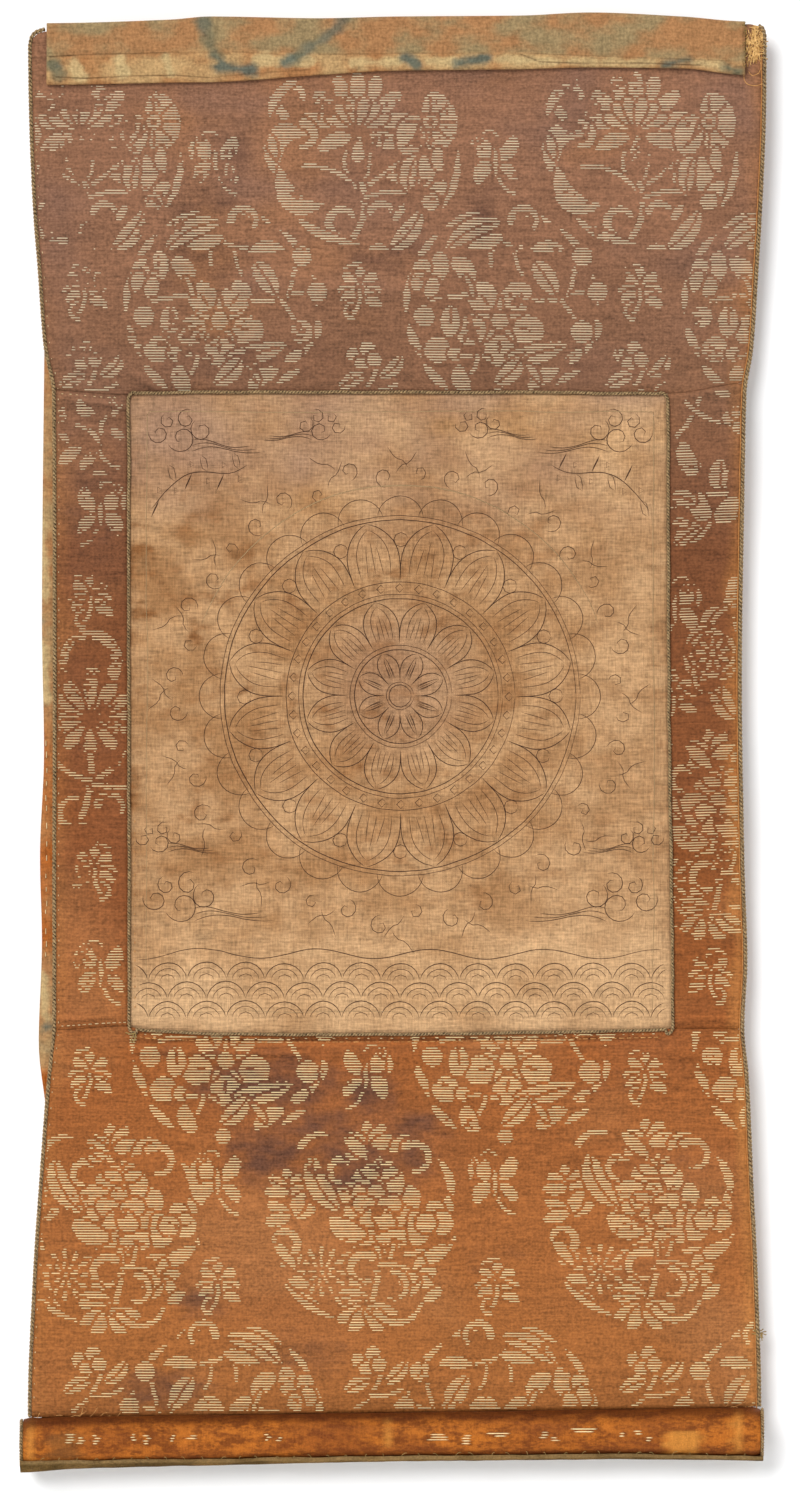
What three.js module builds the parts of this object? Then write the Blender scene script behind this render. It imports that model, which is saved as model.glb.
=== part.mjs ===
// A small hanging scroll: a drawing on linen set in four panels of gold-brocaded silk,
// backed with printed cotton that is turned over the top as a heading, edged with twisted
// cord, and weighted by a rod sewn into the lower end.
//
// Millimetres, +Z up, +X to the right of someone facing the scroll, the front towards -Y.
// The origin is the middle of the heading's top edge, from which the scroll hangs.
// "drop" is the distance below that edge, so z = -drop.

import * as THREE from "three";

// Cloth thicknesses and layers, measured towards the back from the middle of the brocade
const clothThickness = 1.0;
const layerGap = 0.8;
const seamGap = 0.5;
const brocadeFront = -clothThickness / 2;
const liningMiddle = clothThickness + layerGap;
const paintingRecess = 0.1;

// Twisted cords
const edgeCordRadius = 1.2;
const windowCordRadius = 1.1;
const endCordRadius = 0.8;
const cordSides = 8;
const endCordGap = 0.4;
const edgeCordGap = 0.8;
const windowCordGap = 0.5;
const windowCordButtGap = 0.4;
const windowCornerRadius = 3.6;
const windowCornerTurns = [30, 60];
const edgeCordDepth = brocadeFront;
const endCordInset = 0.1;
const endCordTop = -86;
const endCordUnder = 120;

// The rod in its casing, and the strip of cloth sewn under it
const rollMiddleY = -3.5;
const rollLeftEnd = -167.9;
const rollRightEnd = 163.2;
const rollRimRounding = 1.8;
const rollSeatGap = 0.35;
const stripThickness = 1.0;
const stripGap = 0.6;
const stripOverhang = 1.4;
const stripBackAngle = 228;

// The side edges of the brocade, cord included: distance to each side of the middle line
const sideEdges = [
  { drop: 6, left: 166.2, right: 166.4 },
  { drop: 40, left: 165.8, right: 166.2 },
  { drop: 83, left: 164.2, right: 164.6 },
  { drop: 114, left: 161.8, right: 162.8 },
  { drop: 150, left: 159.0, right: 160.4 },
  { drop: 169, left: 155.4, right: 157.4 },
  { drop: 215, left: 155.1, right: 156.4 },
  { drop: 300, left: 155.0, right: 155.3 },
  { drop: 380, left: 155.2, right: 156.4 },
  { drop: 425, left: 155.1, right: 157.8 },
  { drop: 455, left: 155.3, right: 156.4 },
  { drop: 478, left: 157.6, right: 158.4 },
  { drop: 528, left: 161.4, right: 160.6 },
  { drop: 565, left: 163.8, right: 162.4 },
  { drop: 626, left: 166.2, right: 164.0 },
];

// The side edges of the lining, which shows beyond the brocade along the left waist
const liningEdges = [
  { drop: 0, left: 157.6, right: 156.6 },
  { drop: 60, left: 157.8, right: 156.4 },
  { drop: 157, left: 158.8, right: 154.0 },
  { drop: 205, left: 159.4, right: 152.5 },
  { drop: 273, left: 159.8, right: 152.0 },
  { drop: 330, left: 158.9, right: 152.0 },
  { drop: 378, left: 160.7, right: 152.5 },
  { drop: 416, left: 159.8, right: 153.0 },
  { drop: 462, left: 161.3, right: 153.5 },
  { drop: 500, left: 157.6, right: 155.0 },
  { drop: 620, left: 160.0, right: 158.0 },
];

// The window that holds the painting: the lines that its cord covers
const windowSides = [
  { drop: 168, left: -120.8, right: 121.9 },
  { drop: 300, left: -120.7, right: 122.3 },
  { drop: 458, left: -120.5, right: 124.1 },
];

// How each edge cord starts at the brocade's top corner: inward from its side line
const leftCorner = [
  { inward: 6.6, drop: 6.0 },
  { inward: 3.0, drop: 7.2 },
  { inward: 0.8, drop: 9.6 },
  { inward: 0.0, drop: 13.5 },
];
const rightCorner = [
  { inward: 2.6, drop: 4.4 },
  { inward: 0.8, drop: 5.8 },
  { inward: 0.0, drop: 9.2 },
];

// The seams above and below the painting and its side strips
const seams = [
  { x: -158, upper: 168.2, lower: 456.4 },
  { x: -122, upper: 170.4, lower: 454.6 },
  { x: -112, upper: 169.6, lower: 456.6 },
  { x: -60, upper: 169.2, lower: 458.3 },
  { x: 0, upper: 169.3, lower: 458.2 },
  { x: 60, upper: 169.4, lower: 457.3 },
  { x: 115, upper: 169.9, lower: 456.2 },
  { x: 126, upper: 169.6, lower: 455.6 },
  { x: 158, upper: 165.0, lower: 455.8 },
];

// The brocade's top edge, which the heading covers but for its two corners
const brocadeTops = [
  { x: -164, drop: 12.4 },
  { x: -150, drop: 7.0 },
  { x: 0, drop: 5.6 },
  { x: 150, drop: 5.4 },
  { x: 164, drop: 7.8 },
];

// The heading: its top fold, the stitched crease across it, and the fold of its hem
const headingLines = [
  { x: -158, top: 3.0, crease: 18.5, hem: 31.4 },
  { x: -102, top: 1.4, crease: 15.8, hem: 30.4 },
  { x: -84, top: 0.0, crease: 15.4, hem: 30.2 },
  { x: -35, top: 0.8, crease: 17.0, hem: 27.0 },
  { x: 0, top: 0.0, crease: 16.7, hem: 25.0 },
  { x: 55, top: -0.4, crease: 16.6, hem: 24.4 },
  { x: 87, top: -1.8, crease: 18.4, hem: 23.6 },
  { x: 128, top: 0.0, crease: 19.2, hem: 24.0 },
  { x: 157, top: 2.2, crease: 21.0, hem: 27.0 },
];

// The middle of the heading's cloth in section. forward is towards the front from the
// middle of the brocade; share runs from crease to hem in the first table and from the
// top fold to the crease in the second; lift raises a point by so many millimetres.
const hemSection = [
  { forward: 1.65, share: 0.62, lift: 0 },
  { forward: 1.7, share: 1, lift: 1.2 },
  { forward: 2.5, share: 1, lift: 0.5 },
  { forward: 3.3, share: 1, lift: 1.1 },
  { forward: 3.6, share: 0.7, lift: 0.1 },
  { forward: 3.2, share: 0.35, lift: 0 },
];
const flapSection = [
  { forward: 1.65, share: 1 },
  { forward: 2.1, share: 0.84 },
  { forward: 1.7, share: 0.4 },
];
const foldSteps = 4;
const foldMiddleBelowTop = liningMiddle + clothThickness / 2;

// The roll: the height of its top line and its radius, and where the strip's front edge
// lies on it, in degrees below the roll's foremost line
const rollSections = [
  { x: -170, top: 630.6, radius: 11.6, stripEdge: 27 },
  { x: -145, top: 630.0, radius: 11.1, stripEdge: 33 },
  { x: -88, top: 629.3, radius: 10.7, stripEdge: 42 },
  { x: 0, top: 628.0, radius: 10.4, stripEdge: 50 },
  { x: 87, top: 626.9, radius: 10.5, stripEdge: 53 },
  { x: 140, top: 626.0, radius: 11.1, stripEdge: 56 },
  { x: 166, top: 625.6, radius: 11.5, stripEdge: 60 },
];

// Soft waves that rolled storage leaves across the cloth
const storageWaves = [
  { height: 1.0, length: 143, lean: 0.22, start: 0.4 },
  { height: 0.45, length: 86, lean: -0.45, start: 1.9 },
];
const waveFadeTop = 70;
const waveFadeBottom = 560;
const wavesEndBottom = 622;

// The pucker just below the window, where the lower seam draws the brocade in
const puckerStart = 2.6;
const puckerLength = 13;
const puckerLeft = 1.5;
const puckerRight = 0.7;

// Facets: the strips and the window share their columns with the full panels
const stripColumns = 3;
const windowColumns = 10;
const panelColumns = stripColumns + windowColumns + stripColumns;
const topRows = 10;
const middleRows = 16;
const bottomRows = 14;
const bottomRowEase = 1.7;
const liningColumns = 12;
const liningBackRows = 32;
const edgeCordSteps = 30;
const endCordSteps = 12;
const rollSides = 22;
const rollStations = 12;
const underStripColumns = 12;
const underStripSteps = 12;

// A smooth curve through one column of a table, as a function of another column. It never
// swings past the table's values, and it is level at both ends.
function profile(rows, along, column) {
  const places = rows.map((row) => row[along]);
  const values = rows.map((row) => row[column]);
  const last = rows.length - 1;
  const rise = (i) => (values[i + 1] - values[i]) / (places[i + 1] - places[i]);
  const slopes = places.map((_, i) => {
    const turns = i === 0 || i === last || rise(i - 1) * rise(i) <= 0;
    return turns ? 0 : (2 * rise(i - 1) * rise(i)) / (rise(i - 1) + rise(i));
  });
  return (at) => {
    const found = places.findIndex((place) => place > at);
    if (found <= 0) {
      return found === 0 ? values[0] : values[last];
    }
    const i = found - 1;
    const span = places[found] - places[i];
    const t = (at - places[i]) / span;
    const early = values[i] * (1 + 2 * t) + slopes[i] * span * t;
    const late = values[found] * (3 - 2 * t) - slopes[found] * span * (1 - t);
    return early * (1 - t) ** 2 + late * t ** 2;
  };
}

const brocadeLeftEdge = profile(sideEdges, "drop", "left");
const brocadeRightEdge = profile(sideEdges, "drop", "right");
const liningLeftEdge = profile(liningEdges, "drop", "left");
const liningRightEdge = profile(liningEdges, "drop", "right");
const windowLeft = profile(windowSides, "drop", "left");
const windowRight = profile(windowSides, "drop", "right");
const upperSeam = profile(seams, "x", "upper");
const lowerSeam = profile(seams, "x", "lower");
const brocadeTop = profile(brocadeTops, "x", "drop");
const headingTop = profile(headingLines, "x", "top");
const headingCrease = profile(headingLines, "x", "crease");
const headingHem = profile(headingLines, "x", "hem");
const rollTop = profile(rollSections, "x", "top");
const rollRadius = profile(rollSections, "x", "radius");
const stripEdgeAngle = profile(rollSections, "x", "stripEdge");

const { lerp, smoothstep, degToRad } = THREE.MathUtils;

// How far the cloth stands towards the back at a place, from the waves alone
function relief(x, drop) {
  const fade = smoothstep(drop, 0, waveFadeTop) - smoothstep(drop, waveFadeBottom, wavesEndBottom);
  const turn = (wave) => (2 * Math.PI * (drop + wave.lean * x)) / wave.length + wave.start;
  return fade * storageWaves.reduce((sum, wave) => sum + wave.height * Math.sin(turn(wave)), 0);
}

// How far the pucker lifts the lower panel towards the front
function pucker(x, belowSeam) {
  const share = (belowSeam - puckerStart) / puckerLength;
  if (share <= 0 || share >= 1) {
    return 0;
  }
  const height = lerp(puckerLeft, puckerRight, smoothstep(x, rollLeftEnd, rollRightEnd));
  return height * Math.sin(Math.PI * share) ** 2;
}

// The drop of the roll's centre line
function rollCentre(x) {
  return rollTop(x) + rollRadius(x);
}

// The drop at which something that comes down on the roll at a depth is seated
function seatOnRoll(x, depth) {
  const away = depth - rollMiddleY;
  return rollCentre(x) - Math.sqrt(rollRadius(x) ** 2 - away ** 2) - rollSeatGap;
}

// A closed sheet: a flat box whose points place() moves. across runs left to right, along
// from its first row to its last, and through from its back (0) to its front (1).
function mappedSheet(columns, rows, place) {
  const geometry = new THREE.BoxGeometry(1, 1, 1, columns, rows, 1);
  const position = geometry.getAttribute("position");
  for (let i = 0; i < position.count; i += 1) {
    const across = position.getX(i) + 0.5;
    const along = 0.5 - position.getY(i);
    const through = position.getZ(i) + 0.5;
    const point = place(across, along, through);
    position.setXYZ(i, point.x, point.y, point.z);
  }
  geometry.computeVertexNormals();
  return geometry;
}

// The x of a column line at a drop, in the grid that all front panels share
function columnX(column, drop) {
  const inset = 2 * edgeCordRadius + edgeCordGap;
  const left = -brocadeLeftEdge(drop) + inset;
  const right = brocadeRightEdge(drop) - inset;
  if (column <= stripColumns) {
    return lerp(left, windowLeft(drop), column / stripColumns);
  }
  if (column <= stripColumns + windowColumns) {
    return lerp(windowLeft(drop), windowRight(drop), (column - stripColumns) / windowColumns);
  }
  return lerp(windowRight(drop), right, (column - stripColumns - windowColumns) / stripColumns);
}

// A front panel between two column lines and two edges given as functions of x. Its sides
// can be trimmed for a seam, and it can lie deeper, have closer rows at its top, or lift.
function frontPanel(panel) {
  const { firstColumn, lastColumn, rows, top, bottom } = panel;
  const { trimLeft = 0, trimRight = 0, recess = 0, ease = 1, lift = () => 0 } = panel;
  return mappedSheet(lastColumn - firstColumn, rows, (across, along, through) => {
    const column = lerp(firstColumn, lastColumn, across);
    const trim = trimLeft * (1 - across) - trimRight * across;
    const roughX = columnX(column, lerp(top(0), bottom(0), along));
    const drop = lerp(top(roughX), bottom(roughX), along ** ease);
    const x = columnX(column, drop) + trim;
    const depth = lerp(-brocadeFront, brocadeFront, through) + recess;
    return { x, y: depth + relief(x, drop) - lift(x, drop), z: -drop };
  });
}

const aboveUpperSeam = (x) => upperSeam(x) - seamGap / 2;
const belowUpperSeam = (x) => upperSeam(x) + seamGap / 2;
const aboveLowerSeam = (x) => lowerSeam(x) - seamGap / 2;
const belowLowerSeam = (x) => lowerSeam(x) + seamGap / 2;

function brocadeTopPanel() {
  return frontPanel({
    firstColumn: 0,
    lastColumn: panelColumns,
    rows: topRows,
    top: brocadeTop,
    bottom: aboveUpperSeam,
  });
}

function brocadeLeftStrip() {
  return frontPanel({
    firstColumn: 0,
    lastColumn: stripColumns,
    rows: middleRows,
    top: belowUpperSeam,
    bottom: aboveLowerSeam,
    trimRight: seamGap / 2,
  });
}

function brocadeRightStrip() {
  return frontPanel({
    firstColumn: stripColumns + windowColumns,
    lastColumn: panelColumns,
    rows: middleRows,
    top: belowUpperSeam,
    bottom: aboveLowerSeam,
    trimLeft: seamGap / 2,
  });
}

function paintedPanel() {
  return frontPanel({
    firstColumn: stripColumns,
    lastColumn: stripColumns + windowColumns,
    rows: middleRows,
    top: belowUpperSeam,
    bottom: aboveLowerSeam,
    trimLeft: seamGap / 2,
    trimRight: seamGap / 2,
    recess: paintingRecess,
  });
}

function brocadeBottomPanel() {
  return frontPanel({
    firstColumn: 0,
    lastColumn: panelColumns,
    rows: bottomRows,
    top: belowLowerSeam,
    bottom: (x) => seatOnRoll(x, brocadeFront),
    ease: bottomRowEase,
    lift: (x, drop) => pucker(x, drop - lowerSeam(x)),
  });
}

// The middle of the lining's cloth at one x: from the end that is turned under in the hem,
// up the front of the heading, over the top fold and down the back to the roll
function liningPath(x) {
  const top = headingTop(x);
  const crease = headingCrease(x);
  const hem = headingHem(x);
  const foldMiddle = top + foldMiddleBelowTop;
  const path = [];
  for (const { forward, share, lift } of hemSection) {
    path.push(new THREE.Vector2(-forward, lerp(crease, hem, share) - lift));
  }
  for (const { forward, share } of flapSection) {
    path.push(new THREE.Vector2(-forward, lerp(foldMiddle, crease, share)));
  }
  for (let step = 0; step < foldSteps; step += 1) {
    const turn = (Math.PI * step) / foldSteps;
    const y = -liningMiddle * Math.cos(turn);
    path.push(new THREE.Vector2(y, foldMiddle - liningMiddle * Math.sin(turn)));
  }
  const end = seatOnRoll(x, liningMiddle - clothThickness / 2);
  for (let row = 0; row <= liningBackRows; row += 1) {
    path.push(new THREE.Vector2(liningMiddle, lerp(foldMiddle, end, row / liningBackRows)));
  }
  return path;
}

// The lining, from side to side along that path
function lining() {
  const liningRows = hemSection.length + flapSection.length + foldSteps + liningBackRows;
  return mappedSheet(liningColumns, liningRows, (across, along, through) => {
    const index = Math.round(along * liningRows);
    const roughX = lerp(-liningLeftEdge(0), liningRightEdge(0), across);
    const roughDrop = liningPath(roughX)[index].y;
    const x = lerp(-liningLeftEdge(roughDrop), liningRightEdge(roughDrop), across);
    const path = liningPath(x);
    const here = path[index];
    const before = path[Math.max(index - 1, 0)];
    const after = path[Math.min(index + 1, liningRows)];
    const travel = after.clone().sub(before).normalize();
    const offset = (through - 0.5) * clothThickness;
    const drop = here.y + offset * travel.x;
    const y = here.x - offset * travel.y + relief(x, here.y);
    return { x, y, z: -drop };
  });
}

// A cord along points, with a ring of facets at each of them
function cordAlong(points, radius) {
  const section = new THREE.Shape();
  section.absarc(0, 0, radius, 0, 2 * Math.PI, false);
  const route = new THREE.CatmullRomCurve3(points);
  route.getUtoTmapping = (share) => share;
  return new THREE.ExtrudeGeometry(section, {
    steps: points.length - 1,
    curveSegments: cordSides / 2,
    extrudePath: route,
  });
}

// A route given by places on the front, at a depth that follows the cloth's waves
function routeAt(places, depth) {
  return places.map(({ x, drop }) => new THREE.Vector3(x, depth + relief(x, drop), -drop));
}

// An edge cord: round the brocade's top corner, then down its side to the roll
function edgeCord(side, corner) {
  const edge = side < 0 ? brocadeLeftEdge : brocadeRightEdge;
  const middleX = (drop) => side * (edge(drop) - edgeCordRadius);
  const places = corner.map(({ inward, drop }) => ({ x: middleX(drop) - side * inward, drop }));
  const start = corner[corner.length - 1].drop;
  const footX = middleX(sideEdges[sideEdges.length - 1].drop);
  const end = seatOnRoll(footX, edgeCordDepth - edgeCordRadius);
  for (let step = 1; step <= edgeCordSteps; step += 1) {
    const drop = lerp(start, end, step / edgeCordSteps);
    places.push({ x: middleX(drop), drop });
  }
  return cordAlong(routeAt(places, edgeCordDepth), edgeCordRadius);
}

// The places of a quarter turn to the right about a corner's middle, its two ends left out
function quarterTurn(middleX, middleDrop, fromDegrees) {
  return windowCornerTurns.map((turn) => {
    const angle = degToRad(fromDegrees - turn);
    return {
      x: middleX + windowCornerRadius * Math.cos(angle),
      drop: middleDrop - windowCornerRadius * Math.sin(angle),
    };
  });
}

// The places of one side of the window, its first and last included
function windowSide(steps, placeAt) {
  return Array.from({ length: steps + 1 }, (_, step) => placeAt(step / steps));
}

// The window cord: four sides with round corners, its ends butted at the lower left corner
function windowCord() {
  const round = windowCornerRadius;
  const upper = upperSeam(0);
  const lower = lowerSeam(0);
  const highest = upper + round;
  const lowest = lower - round;
  const [leftTop, rightTop] = [windowLeft(upper) + round, windowRight(upper) - round];
  const [leftFoot, rightFoot] = [windowLeft(lower) + round, windowRight(lower) - round];
  const places = [
    { x: leftFoot, drop: lower },
    ...quarterTurn(leftFoot, lowest, 270),
    ...windowSide(middleRows, (share) => {
      const drop = lerp(lowest, highest, share);
      return { x: windowLeft(drop), drop };
    }),
    ...quarterTurn(leftTop, highest, 180),
    ...windowSide(windowColumns, (share) => {
      const x = lerp(leftTop, rightTop, share);
      return { x, drop: upperSeam(x) };
    }),
    ...quarterTurn(rightTop, highest, 90),
    ...windowSide(middleRows, (share) => {
      const drop = lerp(highest, lowest, share);
      return { x: windowRight(drop), drop };
    }),
    ...quarterTurn(rightFoot, lowest, 0),
    ...windowSide(windowColumns, (share) => {
      const x = lerp(rightFoot, leftFoot + windowCordButtGap, share);
      return { x, drop: lowerSeam(x) };
    }),
  ];
  const depth = brocadeFront - windowCordGap - windowCordRadius;
  return cordAlong(routeAt(places, depth), windowCordRadius);
}

// The rod in its casing: a filled roll, turned about its own line and then set to its table
function rodRoll() {
  const length = rollRightEnd - rollLeftEnd;
  const rim = rollRimRounding;
  const outline = [new THREE.Vector2(0, 0), new THREE.Vector2(rollRadius(rollLeftEnd) - rim, 0)];
  for (let station = 0; station <= rollStations; station += 1) {
    const along = lerp(rim, length - rim, station / rollStations);
    outline.push(new THREE.Vector2(rollRadius(rollLeftEnd + along), along));
  }
  outline.push(new THREE.Vector2(rollRadius(rollRightEnd) - rim, length));
  outline.push(new THREE.Vector2(0, length));
  const geometry = new THREE.LatheGeometry(outline, rollSides);
  const position = geometry.getAttribute("position");
  for (let i = 0; i < position.count; i += 1) {
    const x = rollLeftEnd + position.getY(i);
    const y = rollMiddleY - position.getX(i);
    position.setXYZ(i, x, y, position.getZ(i) - rollCentre(x));
  }
  geometry.computeVertexNormals();
  return geometry;
}

// A place on the roll's surroundings: degrees run from its foremost line down and under it
function aroundRoll(x, degrees, outward) {
  const reach = rollRadius(x) + outward;
  const angle = degToRad(degrees);
  const y = rollMiddleY - reach * Math.cos(angle);
  return new THREE.Vector3(x, y, -rollCentre(x) - reach * Math.sin(angle));
}

// The strip of cloth under the roll, from its uneven front edge round to the back
function underStrip() {
  const left = rollLeftEnd - stripOverhang;
  const right = rollRightEnd + stripOverhang;
  return mappedSheet(underStripColumns, underStripSteps, (across, along, through) => {
    const x = lerp(left, right, across);
    const degrees = lerp(stripEdgeAngle(x), stripBackAngle, along);
    return aroundRoll(x, degrees, stripGap + through * stripThickness);
  });
}

// The edge cord where it goes on round an end of the roll, from the top to under the strip
function endCord(x) {
  const points = [];
  for (let step = 0; step <= endCordSteps; step += 1) {
    const degrees = lerp(endCordTop, endCordUnder, step / endCordSteps);
    points.push(aroundRoll(x, degrees, -endCordRadius - endCordInset));
  }
  return cordAlong(points, endCordRadius);
}

const endCordOffset = endCordGap + endCordRadius;
const silk = { roughness: 0.62, metalness: 0.0 };
const cotton = { roughness: 0.9, metalness: 0.0 };
const cord = { color: 0x54462c, roughness: 0.85, metalness: 0.0 };

// Every piece by name: its geometry and its finish
const pieces = {
  lining: [lining(), { color: 0xb08a56, ...cotton }],
  brocade_top: [brocadeTopPanel(), { color: 0x93634a, ...silk }],
  brocade_left: [brocadeLeftStrip(), { color: 0x8d4c2c, ...silk }],
  brocade_right: [brocadeRightStrip(), { color: 0x96552f, ...silk }],
  brocade_bottom: [brocadeBottomPanel(), { color: 0xa55a2a, ...silk }],
  painted_panel: [paintedPanel(), { color: 0xba9263, ...cotton }],
  window_cord: [windowCord(), cord],
  edge_cord_left: [edgeCord(-1, leftCorner), cord],
  edge_cord_right: [edgeCord(1, rightCorner), cord],
  end_cord_left: [endCord(rollLeftEnd - endCordOffset), cord],
  end_cord_right: [endCord(rollRightEnd + endCordOffset), cord],
  rod_roll: [rodRoll(), { color: 0xa85a24, ...silk }],
  under_strip: [underStrip(), { color: 0x75683f, ...cotton }],
};

const scroll = new THREE.Group();
scroll.name = "hanging_scroll";
for (const [name, [geometry, finish]] of Object.entries(pieces)) {
  const mesh = new THREE.Mesh(geometry, new THREE.MeshStandardMaterial(finish));
  mesh.name = name;
  scroll.add(mesh);
}

export default scroll;
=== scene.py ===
"""The looks of a small hanging scroll: a drawing on linen in borders of gold-flowered silk.

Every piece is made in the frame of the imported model. Sizes here are millimetres, unless a
name says otherwise, and "drop" is the distance below the heading's top edge. The meshes
are written in metres. A depth is a place along Y, with the front towards -Y.
"""

import logging
import math
from collections.abc import Callable, Sequence
from dataclasses import dataclass, field
from enum import Enum
from functools import cache, partial

import bpy
import numpy as np
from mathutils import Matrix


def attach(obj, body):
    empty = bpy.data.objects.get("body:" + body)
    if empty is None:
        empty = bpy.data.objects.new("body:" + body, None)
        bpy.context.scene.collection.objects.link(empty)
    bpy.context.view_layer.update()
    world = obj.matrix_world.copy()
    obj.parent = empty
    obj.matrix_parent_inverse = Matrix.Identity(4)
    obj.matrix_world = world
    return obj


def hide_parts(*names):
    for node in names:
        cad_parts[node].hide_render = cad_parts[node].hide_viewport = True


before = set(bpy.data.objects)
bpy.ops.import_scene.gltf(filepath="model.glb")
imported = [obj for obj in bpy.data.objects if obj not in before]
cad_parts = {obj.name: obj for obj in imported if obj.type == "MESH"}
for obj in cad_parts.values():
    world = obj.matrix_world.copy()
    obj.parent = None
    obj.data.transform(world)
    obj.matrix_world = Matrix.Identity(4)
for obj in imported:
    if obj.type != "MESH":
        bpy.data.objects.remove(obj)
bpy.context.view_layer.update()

LOG = logging.getLogger("hanging_scroll")
MM = 0.001


def smooth(value: np.ndarray, low: float, high: float) -> np.ndarray:
    """Rises softly from 0 at low to 1 at high, or falls where high is below low."""
    share = np.clip((value - low) / (high - low), 0, 1)
    return share * share * (3 - 2 * share)


@cache
def lattice_of(seed: int) -> np.ndarray:
    """A square of random numbers from -1 to 1, the same for each seed."""
    return np.random.default_rng(seed).uniform(-1, 1, (64, 64))


def mottle(across: np.ndarray, along: np.ndarray, seed: int) -> np.ndarray:
    """Smooth random patches, one for each unit of its two coordinates.

    Args:
        across: First coordinate, in patches.
        along: Second coordinate, in patches.
        seed: Which set of patches to use.

    Returns:
        Values from -1 to 1.
    """
    lattice = lattice_of(seed)
    size = len(lattice)
    column = np.floor(across).astype(int)
    row = np.floor(along).astype(int)
    u = smooth(across - column, 0, 1)
    v = smooth(along - row, 0, 1)
    west, east = column % size, (column + 1) % size
    north, south = row % size, (row + 1) % size
    upper = lattice[north, west] * (1 - u) + lattice[north, east] * u
    lower = lattice[south, west] * (1 - u) + lattice[south, east] * u
    return upper * (1 - v) + lower * v


@dataclass(frozen=True)
class Profile:
    """A smooth curve through a short table that never swings past the table's values.

    Attributes:
        places: Where the values stand, rising.
        values: The value at each place.
    """

    places: tuple[float, ...]
    values: tuple[float, ...]

    def __call__(self, at: np.ndarray) -> np.ndarray:
        """The curve's value at each place asked for.

        Args:
            at: Where to read the curve.

        Returns:
            The value at each of them.
        """
        places, values = np.array(self.places), np.array(self.values)
        spans = np.diff(places)
        rises = np.diff(values) / spans
        slopes = np.zeros(len(values))
        before, after = rises[:-1], rises[1:]
        steady = before * after > 0
        total = np.where(steady, before + after, 1)
        slopes[1:-1] = np.where(steady, 2 * before * after / total, 0)
        at = np.clip(at, places[0], places[-1])
        i = np.clip(np.searchsorted(places, at, side="right") - 1, 0, len(spans) - 1)
        t = (at - places[i]) / spans[i]
        early = values[i] * (1 + 2 * t) + slopes[i] * spans[i] * t
        late = values[i + 1] * (3 - 2 * t) - slopes[i + 1] * spans[i] * (1 - t)
        return early * (1 - t) ** 2 + late * t**2


@dataclass(frozen=True)
class Wave:
    """A soft wave that rolled storage leaves across the cloth."""

    height: float
    length: float
    lean: float
    start: float


@dataclass(frozen=True)
class Crease:
    """A ridge, or with a lift below zero a trough, from one place of the front to another."""

    x: float
    drop: float
    to_x: float
    to_drop: float
    lift: float
    width: float

    def lift_at(self, x: np.ndarray, drop: np.ndarray) -> np.ndarray:
        """How far the crease lifts each place towards the front.

        Args:
            x: Places from left to right.
            drop: How far each place lies below the heading's top edge.

        Returns:
            The lift of each place.
        """
        run, fall = self.to_x - self.x, self.to_drop - self.drop
        share = ((x - self.x) * run + (drop - self.drop) * fall) / (run**2 + fall**2)
        share = np.clip(share, 0, 1)
        away = np.hypot(x - self.x - share * run, drop - self.drop - share * fall)
        taper = np.sqrt(np.clip(np.sin(np.pi * (0.08 + 0.84 * share)), 0, 1))
        return self.lift * taper * np.exp(-((away / self.width) ** 2))


SIDE_DROPS = (6, 40, 83, 114, 150, 169, 215, 300, 380, 425, 455, 478, 528, 565, 626)
LINING_DROPS = (0, 60, 157, 205, 273, 330, 378, 416, 462, 500, 620)
SEAM_PLACES = (-158, -122, -112, -60, 0, 60, 115, 126, 158)
HEADING_PLACES = (-158, -102, -84, -35, 0, 55, 87, 128, 157)
ROLL_PLACES = (-170, -145, -88, 0, 87, 140, 166)


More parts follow.
